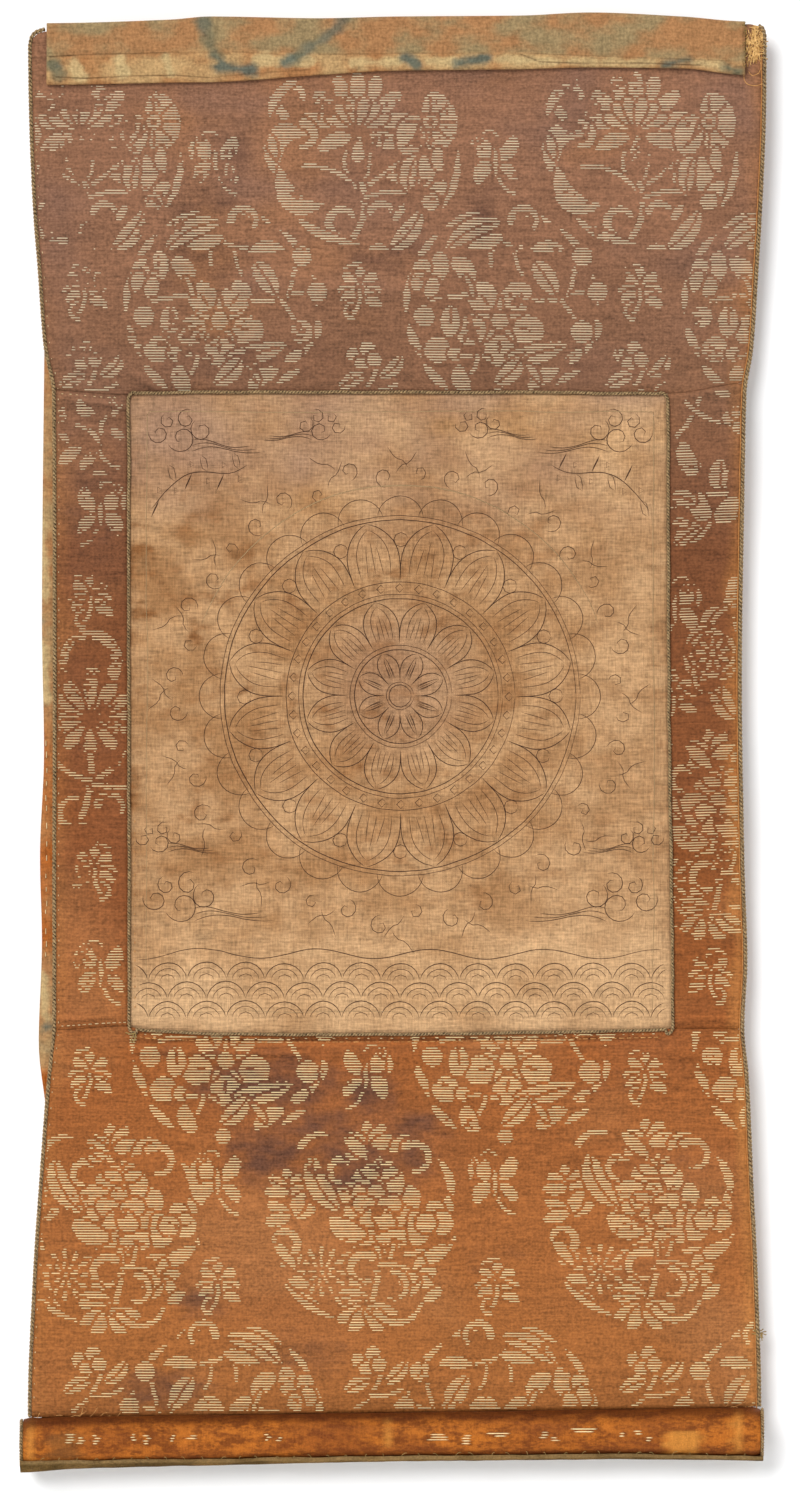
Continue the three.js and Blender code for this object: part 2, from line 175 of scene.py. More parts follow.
@dataclass(frozen=True)
class HangingForm:
    """The shape in which the scroll hangs: its outline, its seams and its depth everywhere."""

    thickness: float = 1.0
    layer_gap: float = 0.8
    linen_recess: float = 0.1
    cord_radius: float = 0.98
    roll_middle_y: float = -3.5
    roll_left_end: float = -167.9
    roll_right_end: float = 163.2
    roll_seat_gap: float = 0.35
    seam_dip: float = 0.42
    seam_dip_width: float = 1.0
    brocade_left: Profile = Profile(
        SIDE_DROPS,
        (
            166.2, 165.8, 164.2, 161.8, 159.0, 155.4, 155.1, 155.0,
            155.2, 155.1, 155.3, 157.6, 161.4, 163.8, 166.2,
        ),
    )
    brocade_right: Profile = Profile(
        SIDE_DROPS,
        (
            166.4, 166.2, 164.6, 162.8, 160.4, 157.4, 156.4, 155.3,
            156.4, 157.8, 156.4, 158.4, 160.6, 162.4, 164.0,
        ),
    )
    lining_left: Profile = Profile(
        LINING_DROPS, (157.6, 157.8, 158.8, 159.4, 159.8, 158.9, 160.7, 159.8, 161.3, 157.6, 160.0)
    )
    lining_right: Profile = Profile(
        LINING_DROPS, (156.6, 156.4, 154.0, 152.5, 152.0, 152.0, 152.5, 153.0, 153.5, 155.0, 158.0)
    )
    window_left: Profile = Profile((168, 300, 458), (-120.8, -120.7, -120.5))
    window_right: Profile = Profile((168, 300, 458), (121.9, 122.3, 124.1))
    upper_seam: Profile = Profile(
        SEAM_PLACES, (168.2, 170.4, 169.6, 169.2, 169.3, 169.4, 169.9, 169.6, 165.0)
    )
    lower_seam: Profile = Profile(
        SEAM_PLACES, (456.4, 454.6, 456.6, 458.3, 458.2, 457.3, 456.2, 455.6, 455.8)
    )
    brocade_top: Profile = Profile(
        (-164, -161.5, -158, -150, 0, 150, 158, 162, 164), (10.6, 7.8, 7.0, 7.0, 5.6, 4.4, 3.6, 4.4, 5.8)
    )
    heading_top: Profile = Profile(HEADING_PLACES, (3.0, 1.4, 0.0, 0.8, 0.0, -0.4, -1.8, 0.0, 2.2))
    heading_crease: Profile = Profile(
        HEADING_PLACES, (18.5, 15.8, 15.4, 17.0, 16.7, 16.6, 18.4, 19.2, 21.0)
    )
    heading_hem: Profile = Profile(
        HEADING_PLACES, (31.4, 30.4, 30.2, 27.0, 25.0, 24.4, 23.6, 24.0, 27.0)
    )
    roll_top: Profile = Profile(ROLL_PLACES, (630.6, 630.0, 629.3, 628.0, 626.9, 626.0, 625.6))
    roll_radius: Profile = Profile(ROLL_PLACES, (11.6, 11.1, 10.7, 10.4, 10.5, 11.1, 11.5))
    strip_edge: Profile = Profile(ROLL_PLACES, (38, 45, 52, 56, 57, 59, 61))
    waves: tuple[Wave, ...] = (Wave(1.0, 143, 0.22, 0.4), Wave(0.45, 86, -0.45, 1.9))
    creases: tuple[Crease, ...] = (
        Crease(-152, 172, -121, 176, 0.5, 1.6),
        Crease(-150, 178, -128, 186, -0.3, 2.2),
        Crease(-121, 160, -108, 168, 0.4, 1.8),
        Crease(123, 172, 154, 167, 0.5, 1.6),
        Crease(126, 160, 150, 158, -0.3, 2.5),
        Crease(-60, 120, 30, 126, 0.35, 5.0),
        Crease(-150, 104, -70, 112, -0.3, 6.0),
        Crease(60, 100, 140, 92, 0.3, 6.0),
        Crease(-120, 462, 118, 461, -0.7, 0.9),
        Crease(-118, 466, -40, 467, 0.4, 1.2),
        Crease(-152, 452, -124, 450, 0.4, 1.5),
        Crease(-150, 470, -128, 480, 0.35, 2.4),
        Crease(127, 452, 152, 451, 0.4, 1.5),
        Crease(122, 466, 156, 474, 0.35, 2.4),
        Crease(-140, 590, -40, 596, 0.3, 7.0),
        Crease(20, 560, 130, 552, -0.3, 7.0),
    )

    def lining_middle(self) -> float:
        """The depth of the middle of the lining's cloth, waves left out."""
        return self.thickness + self.layer_gap

    def relief(self, x: np.ndarray, drop: np.ndarray) -> np.ndarray:
        """How far the waves push the cloth towards the back.

        Args:
            x: Places from left to right.
            drop: How far each place lies below the heading's top edge.

        Returns:
            The push at each place.
        """
        fade = smooth(drop, 0, 70) - smooth(drop, 560, 622)
        total = np.zeros(np.broadcast(x, drop).shape)
        for wave in self.waves:
            turn = 2 * np.pi * (drop + wave.lean * x) / wave.length + wave.start
            total = total + wave.height * np.sin(turn)
        return fade * total

    def pucker(self, x: np.ndarray, below_seam: np.ndarray) -> np.ndarray:
        """How far the lower seam's pucker lifts the bottom panel towards the front.

        Args:
            x: Places from left to right.
            below_seam: How far each place lies below the lower seam.

        Returns:
            The lift of each place.
        """
        share = np.clip((below_seam - 2.6) / 13, 0, 1)
        height = 1.5 - 0.8 * smooth(x, self.roll_left_end, self.roll_right_end)
        return height * np.sin(np.pi * share) ** 2

    def middle(self, x: np.ndarray, drop: np.ndarray) -> np.ndarray:
        """The depth of the middle of the front cloths.

        Args:
            x: Places from left to right.
            drop: How far each place lies below the heading's top edge.

        Returns:
            The depth of each place, with waves, pucker, creases and seam dips.
        """
        depth = self.relief(x, drop) - self.pucker(x, drop - self.lower_seam(x))
        for crease in self.creases:
            depth = depth - crease.lift_at(x, drop)
        for seam in (self.upper_seam, self.lower_seam):
            away = (drop - seam(x)) / self.seam_dip_width
            depth = depth + self.seam_dip * np.exp(-(away**2))
        ripple = mottle(x / 19, drop / 11, 3) + 0.5 * mottle(x / 7, drop / 5, 4)
        return depth - 0.09 * ripple

    def front(self, x: np.ndarray, drop: np.ndarray, proud: float | np.ndarray = 0.0) -> np.ndarray:
        """Points on the front of the cloth, or so far proud of it."""
        depth = self.middle(x, drop) - self.thickness / 2 - proud
        return np.stack(np.broadcast_arrays(x, depth, -drop), -1)

    def band_x(self, band: np.ndarray, drop: np.ndarray) -> np.ndarray:
        """The x of a line that runs down the front: 0 left edge, 1 and 2 window, 3 right edge.

        Args:
            band: Which line, or how far between two.
            drop: How far each place lies below the heading's top edge.

        Returns:
            The x of the line at each drop.
        """
        inset = 1.75 * self.cord_radius
        left = -self.brocade_left(drop) + inset
        right = self.brocade_right(drop) - inset
        window_left, window_right = self.window_left(drop), self.window_right(drop)
        outer = np.where(
            band < 1,
            left + (window_left - left) * band,
            window_right + (right - window_right) * (band - 2),
        )
        inner = window_left + (window_right - window_left) * (band - 1)
        return np.where((band >= 1) & (band <= 2), inner, outer)

    def grid(
        self, bands: np.ndarray, shares: np.ndarray, top: Callable, bottom: Callable
    ) -> tuple[np.ndarray, np.ndarray]:
        """The points of a panel of the front.

        Args:
            bands: Its columns, as band_x counts them.
            shares: Its rows, from 0 at its top edge to 1 at its bottom edge.
            top: The drop of its top edge at each x.
            bottom: The drop of its bottom edge at each x.

        Returns:
            The x and the drop of each point.
        """
        band, share = bands[None, :], shares[:, None]
        rough = self.band_x(band, top(0.0) + (bottom(0.0) - top(0.0)) * share)
        drop = top(rough) + (bottom(rough) - top(rough)) * share
        return self.band_x(band, drop), drop

    def roll_centre(self, x: np.ndarray) -> np.ndarray:
        """The drop of the roll's centre line."""
        return self.roll_top(x) + self.roll_radius(x)

    def seat_on_roll(self, x: np.ndarray, depth: float) -> np.ndarray:
        """The drop at which something that comes down on the roll at a depth is seated.

        Args:
            x: Places from left to right.
            depth: The depth at which it comes down.

        Returns:
            The drop of the seat at each x.
        """
        away = depth - self.roll_middle_y
        rise = np.sqrt(self.roll_radius(x) ** 2 - away**2)
        return self.roll_centre(x) - rise - self.roll_seat_gap

    def around_roll(
        self, x: np.ndarray, degrees: np.ndarray, outward: float | np.ndarray
    ) -> np.ndarray:
        """Points round the roll, by degrees from its foremost line down and under it.

        Args:
            x: Places from left to right.
            degrees: Where each place is round the roll, from its foremost line down and under it.
            outward: How far each place stands out from the roll.

        Returns:
            The points.
        """
        reach = self.roll_radius(x) + outward
        turn = np.radians(degrees)
        y = self.roll_middle_y - reach * np.cos(turn)
        return np.stack(np.broadcast_arrays(x, y, -self.roll_centre(x) - reach * np.sin(turn)), -1)


FORM = HangingForm()
Spot = tuple[float, float]


def lowered(line: Callable, by: float) -> Callable:
    """A line of the form, moved down, or for a line of the sides moved to the right.

    Args:
        line: The line to move.
        by: How far to move it.

    Returns:
        The moved line.
    """

    def moved(at: np.ndarray) -> np.ndarray:
        """Where the moved line lies."""
        return line(at) + by

    return moved


def polar(reach: float | np.ndarray, angle: np.ndarray) -> np.ndarray:
    """Points at a distance and an angle from the middle, right and up from it."""
    return np.stack([reach * np.cos(angle), reach * np.sin(angle)], 1)


def put_in_scene(name: str, points: np.ndarray, faces: Sequence[Sequence[int]]) -> bpy.types.Object:
    """Makes a mesh object at the origin from points in millimetres.

    Args:
        name: The piece's name.
        points: Its points, one to a row.
        faces: The points of each face, by number.

    Returns:
        The piece.
    """
    mesh = bpy.data.meshes.new(name)
    mesh.from_pydata((points * MM).tolist(), [], faces)
    mesh.update()
    piece = bpy.data.objects.new(name, mesh)
    bpy.context.scene.collection.objects.link(piece)
    return piece


def keep_number(piece: bpy.types.Object, name: str, values: np.ndarray) -> None:
    """Stores one number for each point of a piece, for its material to read."""
    attribute = piece.data.attributes.new(name, "FLOAT", "POINT")
    attribute.data.foreach_set("value", np.asarray(values, np.float32).ravel())


def keep_on_both_sides(sheet: bpy.types.Object, numbers: dict[str, np.ndarray]) -> None:
    """Stores numbers for the points of a closed sheet, the same for both its sides."""
    for name, values in numbers.items():
        keep_number(sheet, name, np.tile(values.ravel(), 2))


def closed_sheet(name: str, front: np.ndarray, back: np.ndarray) -> bpy.types.Object:
    """A closed sheet of cloth between two grids of points.

    Args:
        name: The piece's name.
        front: Rows by columns by 3, from the top row down and from left to right.
        back: The same grid on the other side of the cloth.

    Returns:
        The sheet, smooth but for its rim.
    """
    rows, columns = front.shape[:2]
    index = np.arange(rows * columns).reshape(rows, columns)
    corners = (index[:-1, :-1], index[1:, :-1], index[1:, 1:], index[:-1, 1:])
    facing = np.stack([corner.ravel() for corner in corners], 1)
    behind = facing[:, ::-1] + rows * columns
    border = np.concatenate([index[:-1, 0], index[-1, :-1], index[:0:-1, -1], index[0, :0:-1]])
    following = np.roll(border, -1)
    rim = np.stack([following, border, border + rows * columns, following + rows * columns], 1)
    points = np.concatenate([front.reshape(-1, 3), back.reshape(-1, 3)])
    piece = put_in_scene(name, points, np.concatenate([facing, behind, rim]).tolist())
    soft = np.ones(len(piece.data.polygons), bool)
    soft[len(facing) + len(behind) :] = False
    piece.data.polygons.foreach_set("use_smooth", soft)
    return piece


class ThreadPile:
    """Gathers many small closed threads, ribbons and strands into one mesh."""

    def __init__(self) -> None:
        """Starts an empty pile."""
        self.points: list[np.ndarray] = []
        self.laid: list[np.ndarray] = []
        self.faces: list[list[int]] = []
        self.tones: list[np.ndarray] = []
        self.count = 0

    def add_rings(
        self,
        rings: np.ndarray,
        ends: tuple[np.ndarray, np.ndarray],
        tone: float | np.ndarray,
        laid: bool = False,
    ) -> None:
        """Adds a closed shape that runs through rings of points.

        Args:
            rings: Rings by points by 3, each ring turning left about the way ahead.
            ends: The points in which the shape starts and ends.
            tone: A number for its material to read, or one for each point.
            laid: Whether the points are given as x, drop and how far proud of the front.
        """
        amount, sides = rings.shape[:2]
        start = self.count
        self.points.append(np.concatenate([ends[0][None], rings.reshape(-1, 3), ends[1][None]]))
        self.laid.append(np.full(amount * sides + 2, laid))
        self.tones.append(np.broadcast_to(tone, amount * sides + 2))
        self.count += amount * sides + 2
        last = self.count - 1
        for side in range(sides):
            a, b = start + 1 + side, start + 1 + (side + 1) % sides
            self.faces.append([start, b, a])
            for ring in range(amount - 1):
                here, there = ring * sides, (ring + 1) * sides
                self.faces.append([a + here, b + here, b + there, a + there])
            tail = (amount - 1) * sides
            self.faces.append([a + tail, b + tail, last])

    def add_ribbon(self, path: np.ndarray, width: np.ndarray, proud: float, tone: float) -> None:
        """Adds a ribbon with a low ridge that lies on the front.

        Args:
            path: Its middle line as x and drop, from end to end.
            width: Half its width at each place of the path.
            proud: How far its ridge stands out from the cloth.
            tone: A number for its material to read.
        """
        ahead = np.gradient(path, axis=0)
        ahead /= np.maximum(np.hypot(ahead[:, 0], ahead[:, 1]), 1e-9)[:, None]
        side = np.stack([ahead[:, 1], -ahead[:, 0]], 1) * width[:, None]
        upper, lower = path + side, path - side
        sunk = -0.04
        low, high = np.full(len(path), sunk), np.full(len(path), proud)
        edges = [np.column_stack([upper, low]), np.column_stack([path, high])]
        edges.append(np.column_stack([lower, low]))
        rings = np.stack(edges, 1)
        self.add_rings(rings[1:-1], (edges[1][0], edges[1][-1]), tone, laid=True)

    def add_strand(self, path: np.ndarray, radius: float | np.ndarray, sides: int, tone: float) -> None:
        """Adds a round strand.

        Args:
            path: Points by 3 along its middle.
            radius: Its radius, or one for each point.
            sides: How many facets go round it.
            tone: A number for its material to read.
        """
        ahead = np.gradient(path, axis=0)
        ahead /= np.linalg.norm(ahead, axis=1)[:, None]
        deep = np.array([0.0, 1.0, 0.0])
        if np.abs(ahead[:, 1]).max() > 0.9:
            deep = np.array([0.31, 0.12, 0.94])
        first = np.cross(ahead, deep)
        first /= np.linalg.norm(first, axis=1)[:, None]
        second = np.cross(ahead, first)
        turn = np.linspace(0, 2 * np.pi, sides, endpoint=False)
        reach = np.broadcast_to(radius, len(path))[:, None, None]
        across = first[:, None] * np.cos(turn)[None, :, None]
        across = across + second[:, None] * np.sin(turn)[None, :, None]
        self.add_rings(path[:, None] + reach * across, (path[0], path[-1]), tone)

    def finish(self, name: str) -> bpy.types.Object:
        """Turns the pile into one smooth mesh with a "tone" for each point.

        Args:
            name: The piece's name.

        Returns:
            The piece.
        """
        points, laid = np.concatenate(self.points), np.concatenate(self.laid)
        x, drop, proud = points[laid].T
        points[laid] = FORM.front(x, drop, proud)
        piece = put_in_scene(name, points, self.faces)
        piece.data.polygons.foreach_set("use_smooth", np.ones(len(piece.data.polygons), bool))
        keep_number(piece, "tone", np.concatenate(self.tones))
        return piece


Tint = tuple[int, int, int]
Stops = tuple[tuple[float, Tint], ...]


def colour(tint: Tint) -> tuple[float, float, float, float]:
    """A tint given as seen on screen, 0 to 255, as Blender's linear values.

    Args:
        tint: Red, green and blue.

    Returns:
        Red, green, blue and a full alpha.
    """

    def linear(value: int) -> float:
        """One channel."""
        share = value / 255
        return share / 12.92 if share <= 0.04045 else ((share + 0.055) / 1.055) ** 2.4

    red, green, blue = tint
    return (linear(red), linear(green), linear(blue), 1.0)


Operand = "Reading | float"
Paint = Tint | bpy.types.NodeSocket


class Reading:
    """A number in a shader, with Python's operators as Math nodes."""

    def __init__(self, finish: "Surface", socket: bpy.types.NodeSocket) -> None:
        """Wraps a socket of a finish's nodes."""
        self.finish = finish
        self.socket = socket

    def _math(self, operation: str, first: Operand, second: Operand) -> "Reading":
        """Adds one Math node."""
        node = self.finish.node("ShaderNodeMath", {"operation": operation}, {0: first, 1: second})
        return Reading(self.finish, node.outputs[0])

    def __add__(self, other: Operand) -> "Reading":
        """Sum."""
        return self._math("ADD", self, other)

    def __radd__(self, other: Operand) -> "Reading":
        """Sum, reflected."""
        return self._math("ADD", other, self)

    def __sub__(self, other: Operand) -> "Reading":
        """Difference."""
        return self._math("SUBTRACT", self, other)

    def __rsub__(self, other: Operand) -> "Reading":
        """Difference, reflected."""
        return self._math("SUBTRACT", other, self)

    def __mul__(self, other: Operand) -> "Reading":
        """Product."""
        return self._math("MULTIPLY", self, other)

    def __rmul__(self, other: Operand) -> "Reading":
        """Product, reflected."""
        return self._math("MULTIPLY", other, self)

    def highest(self, other: Operand) -> "Reading":
        """The greater of two numbers."""
        return self._math("MAXIMUM", self, other)

    def sine(self) -> "Reading":
        """The sine of a number."""
        return self._math("SINE", self, 0.0)

    def rises(self, low: float, high: float) -> "Reading":
        """Rises softly from 0 at low to 1 at high.

        Args:
            low: The number at which the rise starts.
            high: The number at which it ends.

        Returns:
            The number after the rise.
        """
        settings = {"interpolation_type": "SMOOTHSTEP"}
        node = self.finish.node("ShaderNodeMapRange", settings, {0: self, 1: low, 2: high})
        return Reading(self.finish, node.outputs[0])


class Surface:
    """A material in the making: its nodes and its main shader."""

    def __init__(self, name: str, roughness: float, specular: float = 0.12) -> None:
        """Starts a material with the values that are the same all over it.

        Args:
            name: The material's name.
            roughness: How matt it is, from 0 to 1.
            specular: How strongly it mirrors.
        """
        self.material = bpy.data.materials.new(name)
        self.material.use_nodes = True
        self.tree = self.material.node_tree
        self.shader = next(n for n in self.tree.nodes if n.type == "BSDF_PRINCIPLED")
        self.shader.inputs["Roughness"].default_value = roughness
        self.shader.inputs["Specular IOR Level"].default_value = specular
        self.place = self.node("ShaderNodeTexCoord", {}, {}).outputs["Object"]
        axes = self.node("ShaderNodeSeparateXYZ", {}, {0: self.place})
        self.x = Reading(self, axes.outputs[0])
        self.z = Reading(self, axes.outputs[2])

    def node(self, kind: str, settings: dict[str, object], inputs: dict[object, object]) -> bpy.types.Node:
        """Adds a node.

        Args:
            kind: The node's type.
            settings: Its properties, set first.
            inputs: What each of its sockets gets: a number, a colour or a link.

        Returns:
            The node.
        """
        node = self.tree.nodes.new(kind)
        for name, value in settings.items():
            setattr(node, name, value)
        for key, value in inputs.items():
            if isinstance(value, Reading):
                value = value.socket
            if isinstance(value, bpy.types.NodeSocket):
                self.tree.links.new(value, node.inputs[key])
            else:
                node.inputs[key].default_value = value
        return node

    def number(self, name: str) -> Reading:
        """A number that the piece stores for each of its points."""
        node = self.node("ShaderNodeAttribute", {"attribute_name": name}, {})
        return Reading(self, node.outputs["Fac"])

    def speckle(self, scale: tuple[float, float, float], detail: float = 3.0) -> Reading:
        """Random cloudiness from 0 to 1.

        Args:
            scale: How many clouds there are to a metre along each axis.
            detail: How many finer layers it has.

        Returns:
            The cloudiness at each place.
        """
        mapped = self.node("ShaderNodeMapping", {}, {"Vector": self.place, "Scale": scale})
        inputs = {"Vector": mapped.outputs[0], "Scale": 1.0, "Detail": detail}
        return Reading(self, self.node("ShaderNodeTexNoise", {}, inputs).outputs[0])

    def blend(self, share: Operand, first: Paint, second: Paint) -> bpy.types.NodeSocket:
        """Mixes two colours, each a tint or worked out by nodes.

        Args:
            share: The share of the second colour, from 0 to 1.
            first: The colour where that share is 0.
            second: The colour where it is 1.

        Returns:
            The mixed colour.
        """
        first, second = (colour(paint) if isinstance(paint, tuple) else paint for paint in (first, second))
        inputs = {0: share, 6: first, 7: second}
        return self.node("ShaderNodeMix", {"data_type": "RGBA"}, inputs).outputs[2]

    def shade(self, tint: bpy.types.NodeSocket, gain: Operand) -> bpy.types.NodeSocket:
        """Makes a colour lighter or darker by a factor that changes over the surface."""
        node = self.node("ShaderNodeVectorMath", {"operation": "SCALE"}, {0: tint, "Scale": gain})
        return node.outputs[0]

    def down_the_cloth(self, stops: Stops) -> bpy.types.NodeSocket:
        """A colour that changes from the top of the scroll to its foot.

        Args:
            stops: Each drop in millimetres with its colour.

        Returns:
            The colour at each place.
        """
        length = stops[-1][0]
        node = self.node("ShaderNodeValToRGB", {}, {0: self.z * (-1 / (length * MM))})
        ramp = node.color_ramp
        while len(ramp.elements) < len(stops):
            ramp.elements.new(0.5)
        for element, (drop, tint) in zip(ramp.elements, stops):
            element.position = drop / length
            element.color = colour(tint)
        return node.outputs[0]

    def finish(self, tint: bpy.types.NodeSocket, height: Reading, depth: float) -> bpy.types.Material:
        """Gives the shader its colour and its fine relief.

        Args:
            tint: The colour.
            height: The relief, from 0 to 1.
            depth: How deep that relief is, in millimetres.

        Returns:
            The finished material.
        """
        inputs = {"Height": height, "Distance": depth * MM, "Strength": 1.0}
        bump = self.node("ShaderNodeBump", {}, inputs)
        self.tree.links.new(bump.outputs[0], self.shader.inputs["Normal"])
        self.tree.links.new(tint, self.shader.inputs["Base Color"])
        return self.material


@dataclass(frozen=True)
class BrocadeSilk:
    """Satin silk, mauve-brown and dull at the top and a warm orange-brown at the foot."""

    light: float = 0.8
    stops: Stops = (
        (0, (148, 104, 78)),
        (100, (143, 100, 74)),
        (168, (132, 92, 67)),
        (240, (124, 76, 47)),
        (360, (134, 77, 40)),
        (450, (150, 86, 42)),
        (540, (161, 97, 50)),
        (657, (160, 99, 50)),
    )
    mauve: Tint = (122, 92, 80)
    peach: Tint = (176, 118, 72)
    rubbed_edge: Tint = (186, 122, 64)
    stained: Tint = (92, 62, 50)

    def material(self) -> bpy.types.Material:
        """The silk: reads "stain", "edge" and "fold" from the piece; "fold" is painted shade on the lower
        flank of each crease and a painted highlight on its upper flank.

        Returns:
            The finished material.
        """
        silk = Surface("flowered silk ground", roughness=0.6, specular=0.07)
        cloud = silk.speckle((30, 30, 46), 4)
        grain = silk.speckle((800, 800, 1000), 4)
        weft = silk.speckle((130, 130, 1100), 4)
        warp = silk.speckle((1000, 160, 100), 3)
        streak = silk.speckle((16, 16, 380), 4)
        base = silk.down_the_cloth(self.stops)
        mauve = silk.speckle((11, 11, 17), 4).rises(0.46, 0.68)
        fading = (silk.z * (1 / (260 * MM)) + 1).highest(0.12)
        base = silk.blend(mauve * fading * 0.62, base, self.mauve)
        rust = silk.speckle((17, 17, 30), 5).rises(0.5, 0.74)
        base = silk.blend(rust * 0.45, base, silk.shade(base, 0.72))
        base = silk.blend(silk.speckle((9, 9, 15), 3).rises(0.52, 0.7) * 0.4, base, self.peach)
        base = silk.blend(silk.number("edge") * 0.8, base, self.rubbed_edge)
        ragged = silk.number("stain") + (silk.speckle((90, 90, 150), 5) - 0.5) * 1.1
        base = silk.blend(ragged.rises(0.22, 1.0) * 0.85, base, self.stained)
        gain = 0.34 * cloud + 1.4 * grain + 1.0 * weft + 0.5 * warp + 0.6 * streak
        # The fold number paints shade below each crease and a highlight above it, as light from above would.
        gain = (gain - 0.92 - 0.55 * silk.number("fold")) * self.light
        twill = (silk.x * 9000 + silk.z * 5000).sine()
        return silk.finish(silk.shade(base, gain), twill * 0.2 + grain + weft, 0.12)


@dataclass(frozen=True)
class GiltWeft:
    """Flat strips of gilt paper, greyed at the top of the scroll and bright at its foot."""

    stops: Stops = (
        (0, (226, 209, 175)),
        (168, (217, 198, 163)),
        (330, (221, 194, 147)),
        (470, (241, 219, 165)),
        (657, (241, 219, 166)),
    )

    def material(self) -> bpy.types.Material:
        """The gilt: reads "tone" from the piece.

        Returns:
            The finished material.
        """
        gilt = Surface("gilt weft", roughness=0.5, specular=0.25)
        grain = gilt.speckle((900, 900, 500), 3)
        gain = 0.5 + 0.34 * grain + 0.3 * gilt.number("tone")
        return gilt.finish(gilt.shade(gilt.down_the_cloth(self.stops), gain), grain, 0.05)


@dataclass(frozen=True)
class PaintedLinen:
    """Sized linen toned tan, mauve at its top, with slubs that show through."""

    tans: tuple[Tint, Tint] = ((170, 126, 84), (200, 158, 114))
    mauve: Tint = (162, 126, 102)
    brown: Tint = (138, 92, 54)
    pale: Tint = (212, 172, 128)

    def material(self) -> bpy.types.Material:
        """The linen: reads "mauve", "brown" and "pale" from the piece.

        Returns:
            The finished material.
        """
        linen = Surface("toned linen", roughness=0.9, specular=0.08)
        weft = linen.speckle((170, 170, 1000), 5)
        warp = linen.speckle((1000, 170, 170), 5)
        slub = linen.speckle((40, 40, 800), 3)
        grain = linen.speckle((900, 900, 900), 4)
        cloud = linen.speckle((34, 34, 46), 6)
        base = linen.blend(cloud.rises(0.36, 0.66), *self.tans)
        base = linen.blend(linen.number("mauve"), base, self.mauve)
        worn = linen.speckle((70, 70, 110), 6).rises(0.48, 0.7)
        base = linen.blend(linen.number("brown") * (worn + 0.42), base, self.brown)
        base = linen.blend(linen.number("pale"), base, self.pale)
        gain = 0.86 * weft + 0.76 * warp + 0.56 * grain + 0.4 * slub - 0.47
        threads = (linen.x * 7500).sine() + (linen.z * 7500).sine()
        relief = threads * 0.1 + weft * 0.8 + warp * 0.8
        return linen.finish(linen.shade(base, gain), relief, 0.22)


@dataclass(frozen=True)
class InkLine:
    """Thin lines of brown ink, or of pale body colour."""

    name: str
    dark: Tint
    light: Tint

    def material(self) -> bpy.types.Material:
        """The line: reads "tone" from the piece.

        Returns:
            The finished material.
        """
        ink = Surface(self.name, roughness=0.85)
        broken = ink.speckle((420, 420, 420), 3)
        share = (broken.rises(0.4, 0.66) + ink.number("tone")) * 0.5
        return ink.finish(ink.blend(share, self.dark, self.light), broken, 0.03)


@dataclass(frozen=True)
class PrintedCotton:
    """Plain cotton, resist-printed in tan and orange with cream and blue-green patches."""

    dull: tuple[Tint, Tint] = ((162, 138, 98), (178, 128, 84))
    warm: tuple[Tint, Tint] = ((196, 158, 108), (178, 124, 78))
    orange: Tint = (177, 94, 32)
    cream: Tint = (208, 182, 130)
    blue_green: tuple[Tint, Tint] = ((76, 96, 90), (104, 106, 84))
    fold_shade: Tint = (74, 50, 32)

    def material(self) -> bpy.types.Material:
        """The cotton: reads "blue", "cream", "orange", "band" and "crease" from the piece; "crease" is
        painted shade along the heading's folds and above the hem's lower edge.

        Returns:
            The finished material.
        """
        cotton = Surface("printed cotton", roughness=0.92, specular=0.08)
        grain = cotton.speckle((850, 850, 850), 4)
        weft = cotton.speckle((200, 200, 1000), 4)
        warp = cotton.speckle((1000, 200, 200), 4)
        cloud = cotton.speckle((40, 40, 60), 5)
        wobble = (cotton.speckle((150, 150, 190), 5) - 0.5) * 7
        dull = cotton.blend(cloud.rises(0.4, 0.6), *self.dull)
        warm = cotton.blend(cloud.rises(0.36, 0.62), *self.warm)
        base = cotton.blend(cotton.number("band"), dull, warm)
        base = cotton.blend(cotton.number("orange"), base, self.orange)
        cream = 1 - (cotton.number("cream") + wobble).rises(-1.6, 1.6)
        base = cotton.blend(cream * 0.7, base, self.cream)
        blue = 1 - (cotton.number("blue") + wobble * 0.85).rises(-2.4, 1.9)
        teal = cotton.blend(cotton.speckle((60, 60, 60), 3).rises(0.4, 0.6), *self.blue_green)
        base = cotton.blend(blue * (0.6 + 0.25 * cotton.number("band")), base, teal)
        # Painted shade: darkens the heading's folds and the line just above the hem's lower edge.
        base = cotton.blend(cotton.number("crease"), base, self.fold_shade)
        gain = 0.9 * grain + 0.54 * weft + 0.44 * warp - 0.2
        threads = (cotton.x * 8800).sine() + (cotton.z * 8800).sine()
        return cotton.finish(cotton.shade(base, gain), threads * 0.1 + weft + warp, 0.2)


@dataclass(frozen=True)
class Yarn:
    """Spun yarn of one colour, streaked along its fibres."""

    name: str
    dark: Tint
    light: Tint
    roughness: float = 0.85

    def material(self) -> bpy.types.Material:
        """The yarn: reads "tone" from the piece; on the twisted cords "tone" is painted shade in the grooves
        between the plies and a lighter crown on each ply.

        Returns:
            The finished material.
        """
        yarn = Surface(self.name, roughness=self.roughness)
        fibres = yarn.speckle((1100, 1100, 1100), 4)
        share = fibres.rises(0.36, 0.66) * 0.5 + yarn.number("tone") * 0.5
        return yarn.finish(yarn.blend(share, self.dark, self.light), fibres, 0.12)


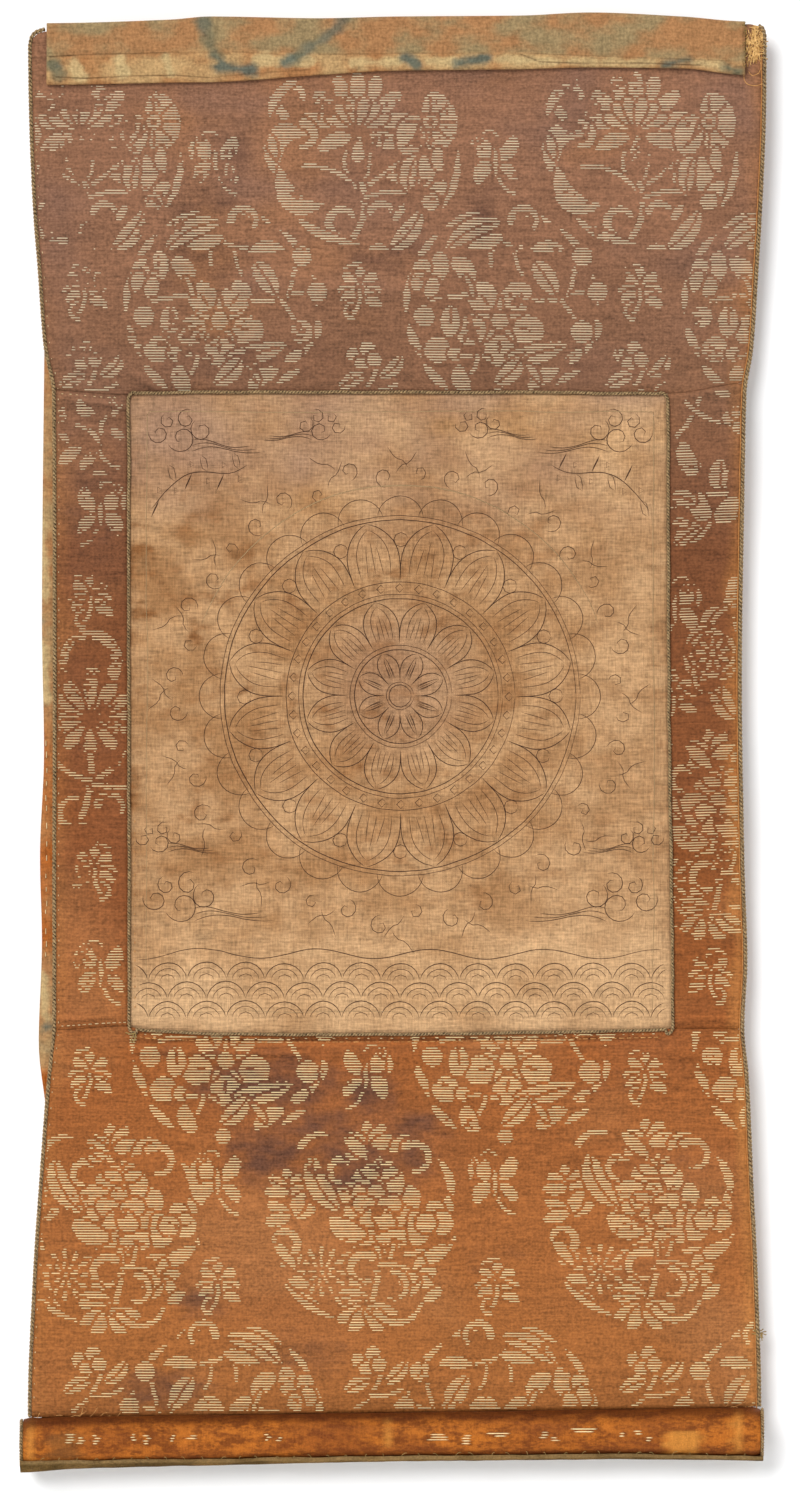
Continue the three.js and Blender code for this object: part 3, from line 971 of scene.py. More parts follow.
@dataclass(frozen=True)
class WornCasing:
    """The silk round the rod, marbled brown and orange where handling has worn it."""

    marbling: tuple[Tint, Tint] = ((130, 70, 28), (178, 102, 37))
    brown: Tint = (122, 64, 30)
    mauve: Tint = (122, 78, 40)
    bare: Tint = (200, 132, 58)
    shadow: Tint = (84, 40, 16)

    def material(self) -> bpy.types.Material:
        """The casing: reads "bare", "shadow" and "mauve" from the piece.

        Returns:
            The finished material.
        """
        silk = Surface("worn rod casing", roughness=0.6, specular=0.05)
        marble = silk.speckle((110, 160, 260), 7) * 0.62 + silk.speckle((520, 620, 980), 6) * 0.38
        grain = silk.speckle((1500, 1500, 1500), 3)
        streak = silk.speckle((1200, 160, 160), 3)
        base = silk.blend(marble.rises(0.4, 0.58), *self.marbling)
        base = silk.blend(silk.speckle((24, 40, 60), 5).rises(0.46, 0.7) * 0.6, base, self.brown)
        base = silk.blend(silk.number("mauve"), base, self.mauve)
        base = silk.blend(silk.number("bare"), base, self.bare)
        base = silk.blend(silk.number("shadow"), base, self.shadow)
        gain = (0.6 * marble + 0.86 * grain + 0.56 * streak) * 0.84
        return silk.finish(silk.shade(base, gain), grain * 0.5 + marble, 0.3)


@dataclass(frozen=True)
class OliveCloth:
    """Plain olive-brown cotton, faded and dusty along its fold."""

    olives: tuple[Tint, Tint] = ((90, 68, 34), (120, 92, 52))
    dusty: Tint = (142, 114, 74)

    def material(self) -> bpy.types.Material:
        """The cloth under the roll: reads "fold" from the piece.

        Returns:
            The finished material.
        """
        cloth = Surface("plain olive cotton", roughness=0.92, specular=0.04)
        grain = cloth.speckle((900, 900, 900), 3)
        cloud = cloth.speckle((60, 60, 60), 4)
        threads = (cloth.x * 8000).sine()
        base = cloth.blend(cloud.rises(0.35, 0.65), *self.olives)
        base = cloth.blend(cloth.number("fold"), base, self.dusty)
        gain = 0.04 + 1.1 * grain + 0.44 * cloud
        return cloth.finish(cloth.shade(base, gain), threads * 0.15 + grain, 0.2)


def dress(piece: bpy.types.Object, material: bpy.types.Material, slot: str) -> None:
    """Gives a piece its material and its body.

    Args:
        piece: The piece.
        material: What it is made of.
        slot: The record's material slot; not used.
    """
    piece.data.materials.append(material)
    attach(piece, "root")
    LOG.info("%s: %d faces", piece.name, len(piece.data.polygons))


class Swell(Enum):
    """How the width of a woven shape changes from its start to its end."""

    LEAF = "leaf"
    PETAL = "petal"
    STEM = "stem"
    COMMA = "comma"

    def shares(self, along: np.ndarray) -> np.ndarray:
        """The share of the full width at each place from 0 to 1.

        Args:
            along: Places from 0 at the shape's start to 1 at its end.

        Returns:
            The share at each of them.
        """
        if self is Swell.LEAF:
            return np.sin(np.pi * along) ** 0.75
        if self is Swell.PETAL:
            return (0.25 + 0.75 * np.sin(0.5 * np.pi * along)) * (1 - along**5) ** 0.6
        if self is Swell.COMMA:
            return 0.15 + 0.85 * (1 - along) ** 0.8
        return np.ones_like(along)


@dataclass(frozen=True)
class WovenShape:
    """One shape of the woven flowers: a bent stroke that swells, in gold or in ground silk."""

    path: np.ndarray
    widths: np.ndarray
    gold: bool = True

    def distance(self, u: np.ndarray, v: np.ndarray) -> np.ndarray:
        """How far each place is from the shape's outline, below zero inside it.

        Args:
            u: How far right of the motif's middle each place is.
            v: How far above that middle it is.

        Returns:
            The distance of each place.
        """
        nearest = np.full(u.shape, 1e3)
        for (au, av), (bu, bv), start, end in zip(
            self.path[:-1], self.path[1:], self.widths[:-1], self.widths[1:]
        ):
            run, rise = bu - au, bv - av
            share = ((u - au) * run + (v - av) * rise) / max(run**2 + rise**2, 1e-6)
            share = np.clip(share, 0, 1)
            away = np.hypot(u - au - share * run, v - av - share * rise)
            nearest = np.minimum(nearest, away - start - (end - start) * share)
        return nearest

    def weave(self, gold: np.ndarray, u: np.ndarray, v: np.ndarray, margin: float) -> None:
        """Puts the shape into a motif in place, with bare ground round it.

        Args:
            gold: Which places are gold so far, changed in place.
            u: How far right of the motif's middle each place is.
            v: How far above that middle it is.
            margin: How wide the bare ground round a gold shape is.
        """
        low = self.path.min(0) - self.widths.max() - margin
        high = self.path.max(0) + self.widths.max() + margin
        near = (u > low[0]) & (u < high[0]) & (v > low[1]) & (v < high[1])
        if not near.any():
            return
        away = self.distance(u[near], v[near])
        if self.gold:
            gold[near] = (gold[near] & (away > margin)) | (away < 0)
        else:
            gold[near] &= away > 0


def blade(
    start: Spot, bend: Spot, end: Spot, width: float, swell: Swell = Swell.LEAF, gold: bool = True
) -> WovenShape:
    """A bent leaf, petal, stem or comma.

    Args:
        start: Where it starts, right and up from the motif's middle.
        bend: The point that it bends towards.
        end: Where it ends.
        width: Half its greatest width.
        swell: How its width changes.
        gold: Whether it is gold, or ground silk left between gold.

    Returns:
        The shape.
    """
    t = np.linspace(0, 1, 9)[:, None]
    path = (1 - t) ** 2 * np.array(start) + 2 * t * (1 - t) * np.array(bend) + t**2 * np.array(end)
    return WovenShape(path, width * swell.shares(t[:, 0]), gold)


def stem(start: Spot, bend: Spot, end: Spot, width: float = 1.0) -> WovenShape:
    """A thin bent stem."""
    return blade(start, bend, end, width, Swell.STEM)


def curl(
    middle: Spot, radius: float, start: float, sweep: float, width: float, tighten: float = 0.4
) -> WovenShape:
    """A curl that winds inwards.

    Args:
        middle: What it winds about.
        radius: How far out it starts.
        start: The direction in which it starts, in degrees.
        sweep: How far it turns, in degrees, to the left if above zero.
        width: Half its width where it starts.
        tighten: The share of the radius that it loses on the way.

    Returns:
        The shape.
    """
    t = np.linspace(0, 1, 11)
    path = np.array(middle) + polar(radius * (1 - tighten * t), np.radians(start + sweep * t))
    return WovenShape(path, width * (1 - 0.45 * t))


def rim(radius: float, start: float, sweep: float, width: float = 1.0) -> WovenShape:
    """A stretch of the ring that closes a roundel, thin at both its ends.

    Args:
        radius: The ring's radius.
        start: The direction in which it starts, in degrees.
        sweep: How far it turns, in degrees, to the left if above zero.
        width: Half its greatest width.

    Returns:
        The shape.
    """
    t = np.linspace(0, 1, 9)
    path = polar(radius, np.radians(start + sweep * t))
    return WovenShape(path, width * (0.35 + 0.65 * np.sin(np.pi * t)))


def disc(middle: Spot, radius: float, gold: bool = True) -> WovenShape:
    """A round bud, or a round gap."""
    return WovenShape(np.array([middle, middle]), np.array([radius, radius]), gold)


def fan(
    middle: Spot,
    angles: Sequence[float],
    start: float,
    reach: float,
    width: float,
    swell: Swell = Swell.LEAF,
    gold: bool = True,
) -> list[WovenShape]:
    """Petals, leaflets or gaps that spread from one point.

    Args:
        middle: The point that they spread from.
        angles: The direction of each, in degrees.
        start: How far from that point they start.
        reach: How far from it they end.
        width: Half the width of each.
        swell: How their width changes.
        gold: Whether they are gold or ground silk.

    Returns:
        The shapes, in the order of the angles.
    """
    shapes = []
    for angle in angles:
        way = np.array([math.cos(math.radians(angle)), math.sin(math.radians(angle))])
        ends = [tuple(np.array(middle) + way * far) for far in (start, (start + reach) / 2, reach)]
        shapes.append(blade(*ends, width, swell, gold))
    return shapes


def veined_leaf(start: Spot, bend: Spot, end: Spot, width: float) -> list[WovenShape]:
    """A leaf with a vein of ground silk along it."""
    return [blade(start, bend, end, width), blade(start, bend, end, 0.45, Swell.STEM, False)]


def lotus_roundel() -> list[WovenShape]:
    """A lotus over its stems, in a ring of leaf scrolls.

    Returns:
        Its shapes, in the order in which they are woven.
    """
    shapes = fan((-2, 12), (168, 12, 140, 40, 112, 68, 90), 6, 25, 4.4, Swell.PETAL)
    shapes += fan((-2, 11), (155, 25, 128, 52, 104, 76), 3, 15, 3.2, Swell.PETAL)
    shapes += [blade((-5, 8), (-12, 8), (-20, 2), 3.8), blade((2, 8), (10, 8), (21, 3), 3.8)]
    shapes += [blade((-1.5, 0), (-1.5, 4), (-1.5, 9), 3.2, Swell.COMMA)]
    shapes += [stem((-7, 1), (-10, -9), (0, -16)), stem((4, 1), (4, -8), (0, -13), 0.8)]
    shapes += [stem((24, 2), (12, -7), (1, -15), 1.1), stem((-26, -5), (-12, -4), (-2, -15), 1.1)]
    shapes += [stem((0, -13), (4, -27), (-4, -37), 1.5), stem((2, -19), (12, -15), (20, -17), 1.2)]
    shapes += [curl((-8, -30), 8, 250, -215, 2.4), blade((-30, -27), (-20, -38), (-1, -40), 2.2)]
    shapes += [curl((9, -27), 5.5, 160, -190, 1.8, 0.1), blade((11, -10), (15, -8), (17, -13), 2.0)]
    shapes += [blade((-24, 9), (-45, 16), (-38, -12), 5.2), blade((-37, -4), (-36, -28), (-17, -22), 5.0)]
    shapes += [curl((-27, 8), 6.5, 80, -170, 2.4), blade((-42, 10), (-40, 4), (-38, -2), 2.0)]
    shapes += [curl((-31, 25), 8, 240, -230, 2.4), blade((-42, 16), (-40, 30), (-28, 34), 2.4)]
    shapes += [blade((32, 3), (38, 14), (31, 28), 8.5), blade((22, 0), (20, 9), (25, 17), 6.5)]
    shapes += fan((31, 15), (0, 45, 90, 135, 180, 225, 270, 315), 2, 11, 0.5, Swell.STEM, False)
    shapes += [disc((31, 15), 3.4), disc((31, 15), 1.4, False)]
    shapes += [blade((20, 4), (25, 8), (26, 15), 0.6, Swell.STEM, False)]
    shapes += [curl((27, 3), 11, 215, 120, 1.6, 0.1), rim(43.5, 2, -34, 1.8)]
    shapes += veined_leaf((21, -17), (20, -6), (25, -1), 4.4)
    shapes += [blade((26, -17), (32, -8), (27, 0), 3.8), blade((36, -8), (33, -2), (35, 4), 2.8)]
    shapes += [blade((28, -24), (33, -16), (38, -12), 3.4), disc((31, -21), 4.0)]
    shapes += veined_leaf((12, -42), (22, -38), (27, -24), 4.6)
    return shapes + [blade((2, -43), (8, -40), (12, -43), 1.8), blade((14, -30), (17, -26), (19, -22), 2.0)]


def prunus_roundel() -> list[WovenShape]:
    """A five-petalled blossom among buds and leaves, in a broken ring.

    Returns:
        Its shapes, in the order in which they are woven.
    """
    heart = (-1, -7)
    shapes = fan(heart, (126, 54, 198, 342, 270), 10.5, 14.0, 6.7, Swell.STEM)
    shapes += fan(heart, (126, 54, 198, 342, 270), 8, 15, 0.7, Swell.LEAF, False)
    shapes += [disc(heart, 6.8, False), disc(heart, 4.0)]
    shapes += fan(heart, (90, 162, 234, 306, 18), 6, 11, 1.3, Swell.COMMA)
    rims = ((104, 22), (133, 20), (160, 24), (190, 22), (82, -22), (52, -26), (18, -18), (-12, -20))
    shapes += [rim(43, start, sweep, 1.8) for start, sweep in rims]
    shapes += [curl((10, 38), 6, 180, -215, 2.0, 0.1), stem((-1, 30), (4, 24), (24, 26), 1.1)]
    shapes += [blade((12, 24), (20, 28), (28, 25), 3.0), stem((-1, 31), (-6, 26), (-5, 18), 1.0)]
    shapes += veined_leaf((-26, 24), (-14, 38), (0, 37), 4.6)
    shapes += [blade((-16, 26), (-6, 28), (1, 31), 3.2), stem((6, 24), (6, 18), (9, 14), 0.9)]
    shapes += [blade((-28, 24), (-27, 17), (-31, 10), 4.6), blade((-23, 20), (-15, 18), (-14, 9), 4.4)]
    shapes += [disc((-36, 17), 4.0), blade((-39, 6), (-38, 12), (-36, 14), 3.2)]
    shapes += [blade((-33, 3), (-31, 8), (-31, 12), 3.4)]
    shapes += [stem((-31, 2), (-20, 4), (-13, 5), 1.2), stem((-13, 5), (-14, 9), (-16, 12), 1.0)]
    shapes += [disc((-35, -5), 4.8), blade((-23, -1), (-23, -7), (-24, -14), 4.6)]
    shapes += [blade((-23, -1), (-23, -4), (-23, -8), 0.5, Swell.STEM, False)]
    shapes += [blade((-42, -8), (-41, -16), (-36, -20), 2.2), disc((-29, -20), 6.0), disc((-21, -22), 3.4)]
    shapes += [stem((-18, -23), (-12, -22), (-6, -24), 1.1), stem((-11, -23), (-12, -30), (-17, -34), 1.1)]
    shapes += veined_leaf((15, 19), (19, 14), (25, 4), 4.8)
    shapes += [stem((14, 2), (25, 1), (32, 5), 1.1), stem((30, 4), (32, 12), (33, 17), 1.1)]
    shapes += [disc((36, 22), 4.6), stem((32, 5), (36, 6), (40, 6), 1.1), disc((43, 6), 4.6)]
    shapes += [stem((27, 2), (31, -3), (34, -9), 1.1)]
    shapes += [disc((36, -12), 5.2), blade((42, -6), (45, -10), (42, -16), 1.8)]
    shapes += [blade((2, -23), (14, -24), (30, -17), 4.6)]
    shapes += [blade((10, -24), (16, -21), (26, -19), 0.6, Swell.STEM, False)]
    shapes += veined_leaf((9, -23), (5, -31), (-4, -36), 4.4)
    shapes += [blade((12, -38), (17, -31), (26, -29), 3.8), blade((10, -26), (15, -30), (17, -35), 1.6)]
    shapes += [blade((-19, -27), (-21, -34), (-14, -39), 4.0), disc((-2, -41), 3.6)]
    shapes += [blade((24, -36), (30, -31), (36, -29), 1.8), blade((-36, -26), (-30, -33), (-24, -38), 2.2)]
    return shapes + [blade((28, -25), (33, -24), (36, -20), 2.6)]


def peony_roundel() -> list[WovenShape]:
    """A full peony with jagged leaves and a small chrysanthemum, in broken curls.

    Returns:
        Its shapes, in the order in which they are woven.
    """
    heart = (7, 7)
    outer = range(20, 380, 45)
    shapes = fan(heart, tuple(outer), 9, 14, 6.6, Swell.STEM)
    shapes += [disc(heart, 9.5, False)]
    shapes += fan(heart, (95, 160, 20, 235, 305), 4, 7.5, 4.0, Swell.STEM)
    shapes += fan((7, 3), (60, 90, 120), 1, 5.5, 1.0, Swell.LEAF, False)
    shapes += [blade((-8, -1), (0, -8), (8, -4), 4.2), blade((24, -2), (15, -9), (6, -5), 4.2)]
    shapes += [blade((-14, 4), (-8, -5), (2, -4), 5.0), blade((22, 6), (30, -2), (22, -8), 5.4)]
    shapes += fan((8, -4), (200, 240, 300, 340), 4, 11, 0.6, Swell.LEAF, False)
    shapes += fan((8, 22), (90, 55, 125, 20, 160), 0, 9, 2.4)
    shapes += [blade((-10, -13), (0, -15), (6, -12), 2.2), blade((18, -13), (25, -13), (31, -12), 1.8)]
    shapes += fan((-33, 15), (95, 50, 140, 5, 180), 0, 11, 3.0)
    shapes += fan((-32, 4), (20, 60, 150, 195), 0, 12, 3.2)
    shapes += veined_leaf((-22, 32), (-24, 18), (-9, 6), 5.4)
    shapes += [curl((-9, 24), 6, 60, 200, 2.0, 0.2), curl((-18, 30), 11, 150, -75, 1.8, 0.0)]
    shapes += fan((4, 35), (100, 150, 200, 60, 20), 0, 12, 3.4)
    shapes += [blade((-8, 40), (-3, 36), (4, 29), 3.0), blade((12, 32), (18, 40), (25, 38), 3.0)]
    shapes += [curl((24, 30), 7, 130, -230, 2.0, 0.2), blade((34, 30), (42, 22), (40, 10), 2.2)]
    shapes += [blade((38, 14), (41, 6), (36, 4), 2.6), disc((33, 7), 4.4), disc((36, 1), 5.4)]
    shapes += [disc((29, 1), 4.6)]
    shapes += [blade((42, -4), (41, -10), (38, -12), 1.6), blade((24, -18), (34, -13), (41, -8), 3.4)]
    bloom = (-18, -21)
    shapes += fan(bloom, tuple(range(0, 360, 30)), 6.2, 11.5, 1.5, Swell.PETAL)
    shapes += fan(bloom, tuple(range(15, 375, 40)), 2.2, 6.2, 1.1, Swell.PETAL)
    shapes += [disc(bloom, 1.2), blade((-37, -18), (-30, -16), (-28, -12), 3.4)]
    shapes += [blade((-40, -8), (-34, -12), (-30, -20), 2.6)]
    shapes += [curl((-35, -8), 6, 330, 200, 2.2, 0.2), blade((-34, -26), (-28, -24), (-24, -28), 2.8)]
    shapes += [blade((-28, -30), (-22, -36), (-18, -41), 2.6), rim(43.5, 218, 36, 1.6)]
    shapes += [stem((7, -10), (9, -24), (3, -38), 1.4), stem((14, -9), (14, -17), (6, -21), 1.0)]
    shapes += [curl((1, -20), 7, 60, 235, 2.2, 0.2), stem((8, -18), (18, -17), (24, -22), 1.2)]
    shapes += fan((25, -23), (80, 20, 320, 250, 200), 0, 9, 2.8)
    shapes += fan((2, -37), (120, 165, 205, 240, 300, 350), 0, 15, 3.2)
    shapes += [blade((-12, -30), (-4, -29), (3, -32), 1.8), curl((14, -28), 7, 90, -200, 1.6, 0.3)]
    return shapes + [curl((16, -33), 11, 215, 130, 1.8, 0.0), blade((28, -34), (32, -32), (36, -28), 2.6)]


def lotus_tail() -> list[WovenShape]:
    """The lower half of a lotus with two open scrolls above it.

    Returns:
        Its shapes, in the order in which they are woven.
    """
    shapes = fan((0, 0), (175, 5, 150, 30, 125, 55, 90), 5, 19, 4.0, Swell.PETAL)
    shapes += [curl((0, 26), 12, 330, 235, 3.0, 0.0), blade((-5, 22), (0, 20), (5, 22), 1.6)]
    shapes += fan((0, 0), (200, 340, 230, 310, 270), 5, 17, 3.6, Swell.PETAL)
    shapes += [stem((0, -17), (2, -30), (-4, -44), 1.6), stem((1, -28), (10, -24), (16, -16), 1.3)]
    shapes += [stem((0, -28), (-10, -26), (-15, -20), 1.3), curl((-7, -42), 8, 300, -220, 2.2, 0.2)]
    return shapes + [curl((9, -40), 6, 170, -190, 2.0, 0.1), stem((2, -30), (10, -31), (16, -31), 1.3)]


def bud_branch() -> list[WovenShape]:
    """Buds and leaves on crossed twigs.

    Returns:
        Its shapes, in the order in which they are woven.
    """
    shapes = [disc((-7, 13), 5.0), blade((-5, 9), (-9, 15), (-11, 25), 4.4)]
    shapes += [blade((7, 2), (4, 8), (7, 17), 4.4)]
    shapes += [blade((-13, 12), (-10, 15), (-6, 13), 0.5, Swell.STEM, False)]
    shapes += [blade((7, 2), (6, 8), (7, 15), 0.5, Swell.STEM, False)]
    shapes += [stem((-15, -5), (0, 5), (15, -1), 1.2), stem((-3, 44), (-6, 34), (-13, 27), 1.1)]
    shapes += [stem((-9, 42), (-1, 34), (9, 33), 1.1), disc((8, 48), 4.0), disc((13, 51), 3.4)]
    shapes += [disc((4, 52), 3.0), disc((11, 35), 3.6), disc((15, 31), 3.0), disc((14, 38), 2.8)]
    shapes += [disc((-12, 50), 3.2), disc((-7, 53), 2.6), blade((-2, 1), (-6, -6), (3, -12), 4.6)]
    shapes += [blade((13, 0), (11, -9), (4, -10), 5.0), blade((-15, -1), (-10, 0), (-5, -3), 4.0)]
    shapes += veined_leaf((-14, -22), (-9, -17), (-1, -13), 4.0)
    return shapes + [blade((-15, -12), (-11, -11), (-8, -13), 2.4), stem((2, -12), (0, -17), (-6, -21), 1.0)]


def forked_twig() -> list[WovenShape]:
    """A twig that forks between two blossoms and ends in leaves.

    Returns:
        Its shapes, in the order in which they are woven.
    """
    shapes = [blade((-7, 15), (-6, 7), (2, 9), 3.0), blade((3, 17), (8, 13), (12, 8), 3.4)]
    shapes += [blade((7, 8), (10, 9), (13, 12), 2.2), stem((6, 10), (2, 2), (2.3, -10), 1.2)]
    shapes += [stem((2.3, -9), (4, -14), (11, -16), 1.1), stem((-8, 3), (-2, 2), (2.3, -4), 1.1)]
    shapes += [blade((8, 1), (10, -1), (14, -3), 2.2), blade((-15, -15), (-12, -10), (-6, -7), 3.2)]
    shapes += [blade((-6, -17), (-3, -13), (1, -9), 2.6), blade((-2, -19), (2, -18), (6, -19), 1.5)]
    return shapes + [blade((-15, 12), (-14, 8), (-14, 4), 1.8), blade((-16, -1), (-13, -2), (-11, -5), 1.6)]


def bloom_branch() -> list[WovenShape]:
    """A ribbed round bloom under a hanging leaf, with a bud below it.

    Returns:
        Its shapes, in the order in which they are woven.
    """
    shapes = [blade((9, 34), (14, 29), (5, 19), 4.6), blade((4, 20), (-1, 18), (-5, 12), 3.2)]
    shapes += [stem((6, 20), (1, 18), (-3, 8), 1.1), blade((8, 16), (12, 14), (11, 8), 1.8)]
    shapes += [rim(9.6, start, 52, 1.5) for start in range(0, 360, 60)]
    shapes += fan((0, 0), tuple(range(15, 375, 40)), 2.4, 7.4, 1.5, Swell.PETAL)
    shapes += [disc((0, 0), 1.7), rim(12.6, 100, 60, 1.1), rim(12.6, 185, 70, 1.3), rim(12.4, 285, 55, 1.1)]
    shapes += veined_leaf((4, -15), (3, -24), (10, -29), 5.0)
    return shapes + [stem((-8, -8), (-9, -14), (-5, -17), 1.1), blade((-2, -17), (0, -21), (4, -22), 1.8)]


def butterfly() -> list[WovenShape]:
    """A small butterfly over two leaves.

    Returns:
        Its shapes, in the order in which they are woven.
    """
    shapes = [blade((0, 2), (-8, 8), (-7, 14), 4.0), blade((1, 2), (9, 7), (8, 13), 3.6)]
    shapes += [blade((-1, 0), (-8, -1), (-7, -9), 3.6), blade((2, 0), (8, -2), (10, -8), 2.8)]
    shapes += [blade((0, -6), (1, 2), (0, 8), 1.2), curl((-3, 12), 4, 20, 130, 0.8, 0.2)]
    shapes += fan((-6, 10), (60, 120, 200), 1, 4, 0.5, Swell.STEM, False)
    return shapes + [stem((2, -6), (4, -12), (9, -13), 0.9), blade((-10, 2), (-11, 6), (-10, 12), 1.4)]


def spray() -> list[WovenShape]:
    """A little flower with leaves to each side.

    Returns:
        Its shapes, in the order in which they are woven.
    """
    shapes = fan((0, 1), (90, 40, 140), 1, 9, 3.0, Swell.PETAL)
    shapes += fan((0, 0), (0, 180, 330, 210), 1, 10, 2.6)
    shapes += [stem((0, 0), (1, -6), (-3, -11), 1.0), curl((-3, -9), 4, 270, -180, 1.2, 0.2)]
    return shapes + [blade((2, -5), (7, -4), (10, -8), 2.4), blade((-8, 9), (-4, 12), (2, 12), 1.0)]


def leaf_pair() -> list[WovenShape]:
    """Two blossoms on a forked twig.

    Returns:
        Its shapes, in the order in which they are woven.
    """
    shapes = [stem((-10, -14), (0, -8), (4, 6), 1.1), stem((-2, -7), (6, -8), (12, -4), 1.0)]
    shapes += [disc((-7, 9), 3.6), disc((-1, 12), 3.4), disc((-4, 5), 3.2), disc((2, 7), 3.4)]
    shapes += veined_leaf((4, -1), (12, 2), (14, 9), 3.4)
    return shapes + veined_leaf((-14, -6), (-8, -1), (-2, 0), 3.4)


class Motif(Enum):
    """The woven motifs."""

    LOTUS = "lotus"
    PRUNUS = "prunus"
    PEONY = "peony"
    LOTUS_TAIL = "lotus tail"
    BUTTERFLY = "butterfly"
    SPRAY = "spray"
    LEAF_PAIR = "leaf pair"
    BUD_BRANCH = "bud branch"
    BLOOM_BRANCH = "bloom branch"
    FORKED_TWIG = "forked twig"

    def shapes(self) -> list[WovenShape]:
        """What the motif is made of, in the order in which it is woven.

        Returns:
            The shapes.
        """
        makers = {
            Motif.LOTUS: lotus_roundel,
            Motif.PRUNUS: prunus_roundel,
            Motif.PEONY: peony_roundel,
            Motif.LOTUS_TAIL: lotus_tail,
            Motif.BUTTERFLY: butterfly,
            Motif.SPRAY: spray,
            Motif.LEAF_PAIR: leaf_pair,
            Motif.BUD_BRANCH: bud_branch,
            Motif.BLOOM_BRANCH: bloom_branch,
            Motif.FORKED_TWIG: forked_twig,
        }
        return makers[self]()


@dataclass(frozen=True)
class Placed:
    """A motif at its place on the front, turned over from side to side where flipped."""

    motif: Motif
    x: float
    drop: float
    flipped: bool = False


def in_a_row(motif: Motif, drop: float, *places: float, flipped: bool = False) -> list[Placed]:
    """The same motif at each of some places along one drop."""
    return [Placed(motif, x, drop, flipped) for x in places]


